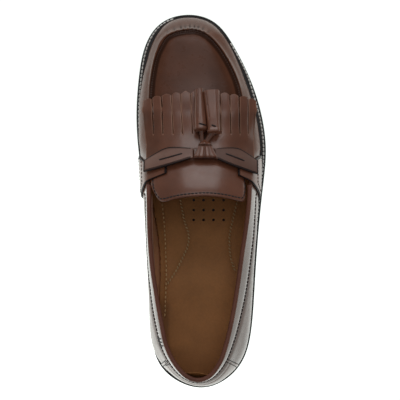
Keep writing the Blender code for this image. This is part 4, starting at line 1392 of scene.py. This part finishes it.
def shaft(name, start, end, around, steps, form):
    """Rod from start to end, shaped by form(angle, share) as side, up and along offsets, with its painted
    shade.
    """
    piece = new_piece(
        name, bpy.ops.mesh.primitive_cylinder_add,
        vertices=around, radius=1.0, depth=1.0, end_fill_type="TRIFAN")
    bpy.ops.object.mode_set(mode="EDIT")
    bpy.ops.mesh.select_mode(type="EDGE")
    bpy.ops.mesh.select_all(action="DESELECT")
    data = bmesh.from_edit_mesh(piece.data)
    for edge in data.edges:
        edge.select_set(abs(edge.verts[0].co.z - edge.verts[1].co.z) > 0.5)
    bmesh.update_edit_mesh(piece.data)
    bpy.ops.mesh.subdivide(number_cuts=steps - 1)
    bpy.ops.object.mode_set(mode="OBJECT")
    rod = read_points(piece) * MM
    reach = np.hypot(rod[:, 0], rod[:, 1])
    angle = np.arctan2(rod[:, 1], rod[:, 0])
    side, up, along, shade = form(angle, rod[:, 2] + 0.5)
    axis = (end - start) / np.linalg.norm(end - start)
    across = np.cross(axis, (0.0, 0.0, 1.0))
    across /= np.linalg.norm(across)
    above = np.cross(across, axis)
    points = start + np.outer(along * np.linalg.norm(end - start), axis)
    points += np.outer(side * reach, across) + np.outer(up * reach, above)
    write_points(piece, points)
    write_shade(piece, shade)
    with editing(piece):
        bpy.ops.mesh.normals_make_consistent(inside=False)
    bpy.ops.object.shade_smooth_by_angle(angle=math.radians(60.0))
    return piece


def node_axis(node):
    """Middles of the two ends of a long solid, rear end first."""
    mesh = frame["nodes"][node].data
    points = np.unique(np.round([np.array(vert.co) / MM for vert in mesh.vertices], 3), axis=0)
    middle = points.mean(axis=0)
    axis = np.linalg.svd(points - middle)[2][0]
    axis *= math.copysign(1.0, axis[1])
    places = (points - middle) @ axis
    rear = points[places < places.min() + 0.3].mean(axis=0)
    tip = points[places > places.max() - 0.3].mean(axis=0)
    return rear, tip


class LOAFER_OT_tassels(bpy.types.Operator):
    """Tassels rolled from slit leather, and the thongs that tie them to the knot."""

    bl_idname = "loafer.tassels"
    bl_label = "Tassels"

    CAP_SHARE = 0.25

    def tassel(self, cut):
        node = "tassel_" + cut.side
        rear, tip = node_axis(node)
        tip = tip - (tip - rear) * 0.04 + (cut.lean, 0.0, 0.0)
        rear = rear - (0.6, 0.0, 0.0)

        def form(angle, share):
            free = smooth((share - self.CAP_SHARE) / 0.06)
            strip = (angle + cut.twist * share) / (2.0 * math.pi) * cut.strips
            place = strip - np.floor(strip)
            number = np.mod(np.floor(strip), cut.strips)
            gap = bump(np.minimum(place, 1.0 - place), 0.16) * free
            lap = (place - 0.5) * 0.05 * free + 0.05 * np.sin(number * 2.4) * free * share
            nose = 1.0 - 0.10 * smooth((0.03 - share) / 0.03) + 0.08 * bump(share - 0.03, 0.03)
            flare = smooth((share - 0.1) / 0.9)
            radius = nose * (1.0 + lap - 0.035 * gap)
            width = cut.cap + (cut.width - cut.cap) * flare
            height = cut.cap + (cut.height - cut.cap) * flare
            uneven = share + 0.010 * np.sin(number * 1.9 + 0.6) * smooth((share - 0.9) / 0.1)
            side_on = np.copysign(np.abs(np.cos(angle)) ** cut.square, np.cos(angle))
            up_on = np.copysign(np.abs(np.sin(angle)) ** cut.square, np.sin(angle))
            # Painted shade in the grooves between the strips, over the tassel's own darker dye.
            return side_on * width * radius, up_on * height * radius, uneven, cut.dye + 0.2 * gap

        piece = shaft(f"tassel_{cut.side}_leather", rear, tip, cut.strips * 14, 36, form)
        dress(piece, "overlay")
        finish(piece, "overlay_leather", node)

    def thong(self, cut):
        def form(angle, share):
            fold = bump(np.cos(angle), 0.25) * (np.sin(angle) > 0.0)
            wide = cut.rear_width + (cut.tip_width - cut.rear_width) * share
            # Darker all over, with painted shade in the middle fold.
            return np.cos(angle) * wide, np.sin(angle) * (0.9 - 0.25 * fold), share, 0.3 + 0.2 * fold

        piece = shaft(f"thong_{cut.side}_leather", np.array(cut.rear), np.array(cut.tip), 24, 12, form)
        dress(piece, "overlay")
        finish(piece, "overlay_leather", "tassel_thong_" + cut.side)

    def execute(self, context):
        for cut in TASSELS:
            self.tassel(cut)
        for cut in THONGS:
            self.thong(cut)
        return {"FINISHED"}


class LOAFER_OT_stitching(bpy.types.Operator):
    """Every row of stitches, and every cut and crease darkened as painted shade, set on the piece that
    carries it.
    """

    bl_idname = "loafer.stitching"
    bl_label = "Stitching"

    def welt(self, sizes):
        carrier = Carrier("welt_leather")
        runs = []
        for start, end in WELT_RUNS:
            turns = np.linspace(start, end, 500)
            line, out = plan_line(SOLE_PLAN, turns)
            inset = sizes.welt_inset / MM - 0.9 * smooth((turns - 0.74) / 0.06) * (turns < 1.0)
            runs.append(carrier.from_above(line - out * inset[:, None]))
        lay_stitches("welt_stitches", runs, WELT_THREAD, "welt_strip", "pale_thread")

    def collar(self):
        carrier = Carrier("upper_leather")
        front_lateral = turn_at(9.0, 1)
        front_medial = turn_at(6.0, -1) - 2.0
        turns = np.linspace(front_medial, front_lateral, 500)
        runs = [carrier.from_side(turns, collar_drop(turns))]
        lay_stitches("collar_stitches", runs, COLLAR_THREAD, "upper_leather", "dark_thread")
        share = np.linspace(0.0, 1.0, 12)
        tacks = [carrier.from_side(start + 0.003 * share, 9.5 - 7.5 * share) for start in COLLAR_TACKS]
        lay_stitches("collar_tacks", tacks, TACK_THREAD, "upper_leather", "dark_thread")
        bead_turns = np.linspace(turn_at(4.0, -1), 1.668, 90)
        places, normals = carrier.from_side(bead_turns, np.full_like(bead_turns, 4.2), carrier.INSIDE)
        edge = [(places + normals * 2.3, normals)]
        lay_stitches("lining_edge", edge, LINING_EDGE, "footbed_leather", "raw")

    def counter(self):
        """Two rows down each side of the counter, and short tacks beside the medial ones."""
        carrier = Carrier("upper_leather", "counter_leather")
        runs = []
        drops = np.linspace(10.5, 52.0, 60)
        for turn in COUNTER_ROWS:
            for side in (1.0, -1.0):
                turns = side * (turn - 0.00025 * (drops - 13.0))
                runs.append(carrier.from_side(turns, drops))
        lay_stitches("counter_stitches", runs, SEAM_THREAD, "upper_leather", "dark_thread")
        share = np.linspace(0.0, 1.0, 12)
        tacks = [carrier.from_side(np.full_like(share, tack.turn), drops[0] + tack.length * share)
                 for tack in COUNTER_TACKS]
        lay_stitches("counter_tacks", tacks, COLLAR_THREAD, "upper_leather", "dark_thread")

    def rear_line(self, name, inset):
        """Plan line along a wing's rear edge, a little inside it."""
        points = read_points(bpy.data.objects[name])
        stations = np.linspace(points[:, 0].min() + 2.0, points[:, 0].max() - 2.0, 60)
        edge = [points[np.abs(points[:, 0] - station) < 0.9, 1].min() for station in stations]
        edge = np.convolve(np.pad(edge, 3, mode="edge"), np.ones(7) / 7.0, mode="valid")
        return np.stack([stations, edge + inset], axis=1)

    def straps(self):
        """Stitched box on each strap, along the wall."""
        runs = []
        share = np.linspace(0.0, 1.0, 24)
        for name, side, corners in STRAP_BOXES:
            carrier = Carrier(name)
            for (start, start_drop), (end, end_drop) in zip(corners, corners[1:]):
                turns = turn_at(start + (end - start) * share, side)
                runs.append(carrier.from_side(turns, start_drop + (end_drop - start_drop) * share))
        lay_stitches("strap_stitches", runs, SEAM_THREAD, "overlay_leather", "dark_thread")

    def execute(self, context):
        self.welt(context.scene.loafer_sizes)
        self.collar()
        self.counter()
        self.straps()
        tongue = drawn(260, ("tongue_leather", TONGUE_LINE))
        arch = drawn(120, ("insole_sock", ARCH_LINE))
        pad = drawn(140, ("insole_sock", PAD_MEDIAL), ("insole_sock", PAD_LATERAL))
        # Near-black rods as painted shade in the wings' slits, in the creases by their rear edges and in the
        # tassels' slots.
        creases = [(name, self.rear_line(name, 2.0)) for name, _ in WING_SLITS]
        for name, lines, thread, slot, made in (
            ("tongue_stitches", tongue, LIP_THREAD, "overlay_leather", "dark_thread"),
            ("arch_stitches", arch, SOCK_THREAD, "footbed_leather", "tan_thread"),
            ("pad_stitches", pad, PAD_THREAD, "footbed_leather", "pad_thread"),
            ("bow_slits", drawn(60, *WING_SLITS), CUT_SHADOW, "overlay_leather", "edge"),
            ("bow_edge_creases", creases, CREASE_SHADOW, "overlay_leather", "edge"),
            ("tassel_slots", drawn(40, *TASSEL_SLOTS), CUT_SHADOW, "overlay_leather", "edge"),
        ):
            runs = [Carrier(carrier).from_above(plan) for carrier, plan in lines]
            lay_stitches(name, runs, thread, slot, made)
        return {"FINISHED"}


class LOAFER_OT_stage(bpy.types.Operator):
    """White table, soft lights and the camera straight above."""

    bl_idname = "loafer.stage"
    bl_label = "Stage"

    def lamp(self, name, place, aim, width, height, power):
        bpy.ops.object.light_add(type="AREA", location=place)
        lamp = bpy.context.object
        lamp.name = name
        lamp.data.shape = "RECTANGLE"
        lamp.data.size = width
        lamp.data.size_y = height
        lamp.data.energy = power
        lamp.rotation_euler = (Vector(aim) - Vector(place)).to_track_quat("-Z", "Y").to_euler()

    def table(self, stage):
        """White table that glows, more beside the medial quarter and behind the bow."""
        floor = new_piece(
            "white_table", bpy.ops.mesh.primitive_plane_add, size=12.0, location=(0.0, 0.0, -0.2 * MM))
        nodes = Nodes("white_table")
        nodes.fill(
            nodes.shader, Base_Color=(0.12, 0.12, 0.12, 1.0), Roughness=0.9, Specular_IOR_Level=0.1,
            Emission_Color=(0.95, 1.0, 0.96, 1.0))
        split = nodes.add("ShaderNodeSeparateXYZ")
        nodes.link(nodes.place, split.inputs["Vector"])
        both = nodes.add("ShaderNodeMath", operation="MULTIPLY")
        nodes.link(nodes.mapped(split.outputs["X"], 0.10, -0.12), both.inputs[0])
        nodes.link(nodes.mapped(split.outputs["Y"], 0.06, -0.03), both.inputs[1])
        # The extra glow beside the medial quarter and behind the bow is a painted pool of light on the table,
        # which lights the shoe though it is no lamp.
        brightest = stage.floor_glow * stage.side_glow
        glow = nodes.mapped(both.outputs["Value"], 0.0, 1.0, stage.floor_glow, brightest)
        nodes.link(glow, nodes.shader.inputs["Emission Strength"])
        floor.data.materials.append(nodes.made)

    def execute(self, context):
        stage = context.scene.loafer_stage
        self.table(stage)
        self.lamp("overhead_light", (0.0, 0.1, 1.75), (0.0, 0.0, 0.0), 1.3, 1.3, stage.overhead)
        self.lamp("front_light", (0.06, 0.98, 0.74), (0.0, 0.02, 0.05), 0.74, 0.6, stage.front)
        world = bpy.data.worlds.new("room")
        world.use_nodes = True
        world.node_tree.nodes["Background"].inputs["Color"].default_value = (1.0, 1.0, 1.0, 1.0)
        world.node_tree.nodes["Background"].inputs["Strength"].default_value = stage.air
        context.scene.world = world
        context.scene.view_settings.view_transform = "Standard"
        place = (stage.camera_across, stage.camera_along, stage.camera_height)
        bpy.ops.object.camera_add(location=place, rotation=(0.0, 0.0, 0.0))
        camera = context.object
        camera.name = "camera_above"
        camera.data.sensor_width = 36.0
        camera.data.lens = 36.0 * stage.camera_height / stage.frame_width
        context.scene.camera = camera
        return {"FINISHED"}


class LOAFER_PT_panel(bpy.types.Panel):
    """Steps of the loafer, in order."""

    bl_idname = "LOAFER_PT_panel"
    bl_label = "Tassel Loafer"
    bl_space_type = "VIEW_3D"
    bl_region_type = "UI"
    bl_category = "Loafer"

    def draw(self, context):
        for step in STEPS:
            self.layout.operator(step.bl_idname)
        for group in (context.scene.loafer_sizes, context.scene.loafer_colours, context.scene.loafer_stage):
            for name in group.__annotations__:
                self.layout.prop(group, name)


STEPS = (
    LOAFER_OT_finishes,
    LOAFER_OT_sole,
    LOAFER_OT_insole,
    LOAFER_OT_upper,
    LOAFER_OT_seam_strip,
    LOAFER_OT_collar,
    LOAFER_OT_tongue,
    LOAFER_OT_kiltie,
    LOAFER_OT_straps,
    LOAFER_OT_bow,
    LOAFER_OT_tassels,
    LOAFER_OT_stitching,
    LOAFER_OT_stage,
)
GROUPS = (("loafer_sizes", LoaferSizes), ("loafer_colours", LoaferColours), ("loafer_stage", LoaferStage))


def register():
    for name, group in GROUPS:
        bpy.utils.register_class(group)
        setattr(bpy.types.Scene, name, PointerProperty(type=group))
    for kind in (*STEPS, LOAFER_PT_panel):
        bpy.utils.register_class(kind)


def unregister():
    for kind in reversed((*STEPS, LOAFER_PT_panel)):
        bpy.utils.unregister_class(kind)
    for name, group in reversed(GROUPS):
        delattr(bpy.types.Scene, name)
        bpy.utils.unregister_class(group)


def main():
    register()
    for step in STEPS:
        group, name = step.bl_idname.split(".")
        getattr(getattr(bpy.ops, group), name)()


if __name__ == "__main__":
    main()
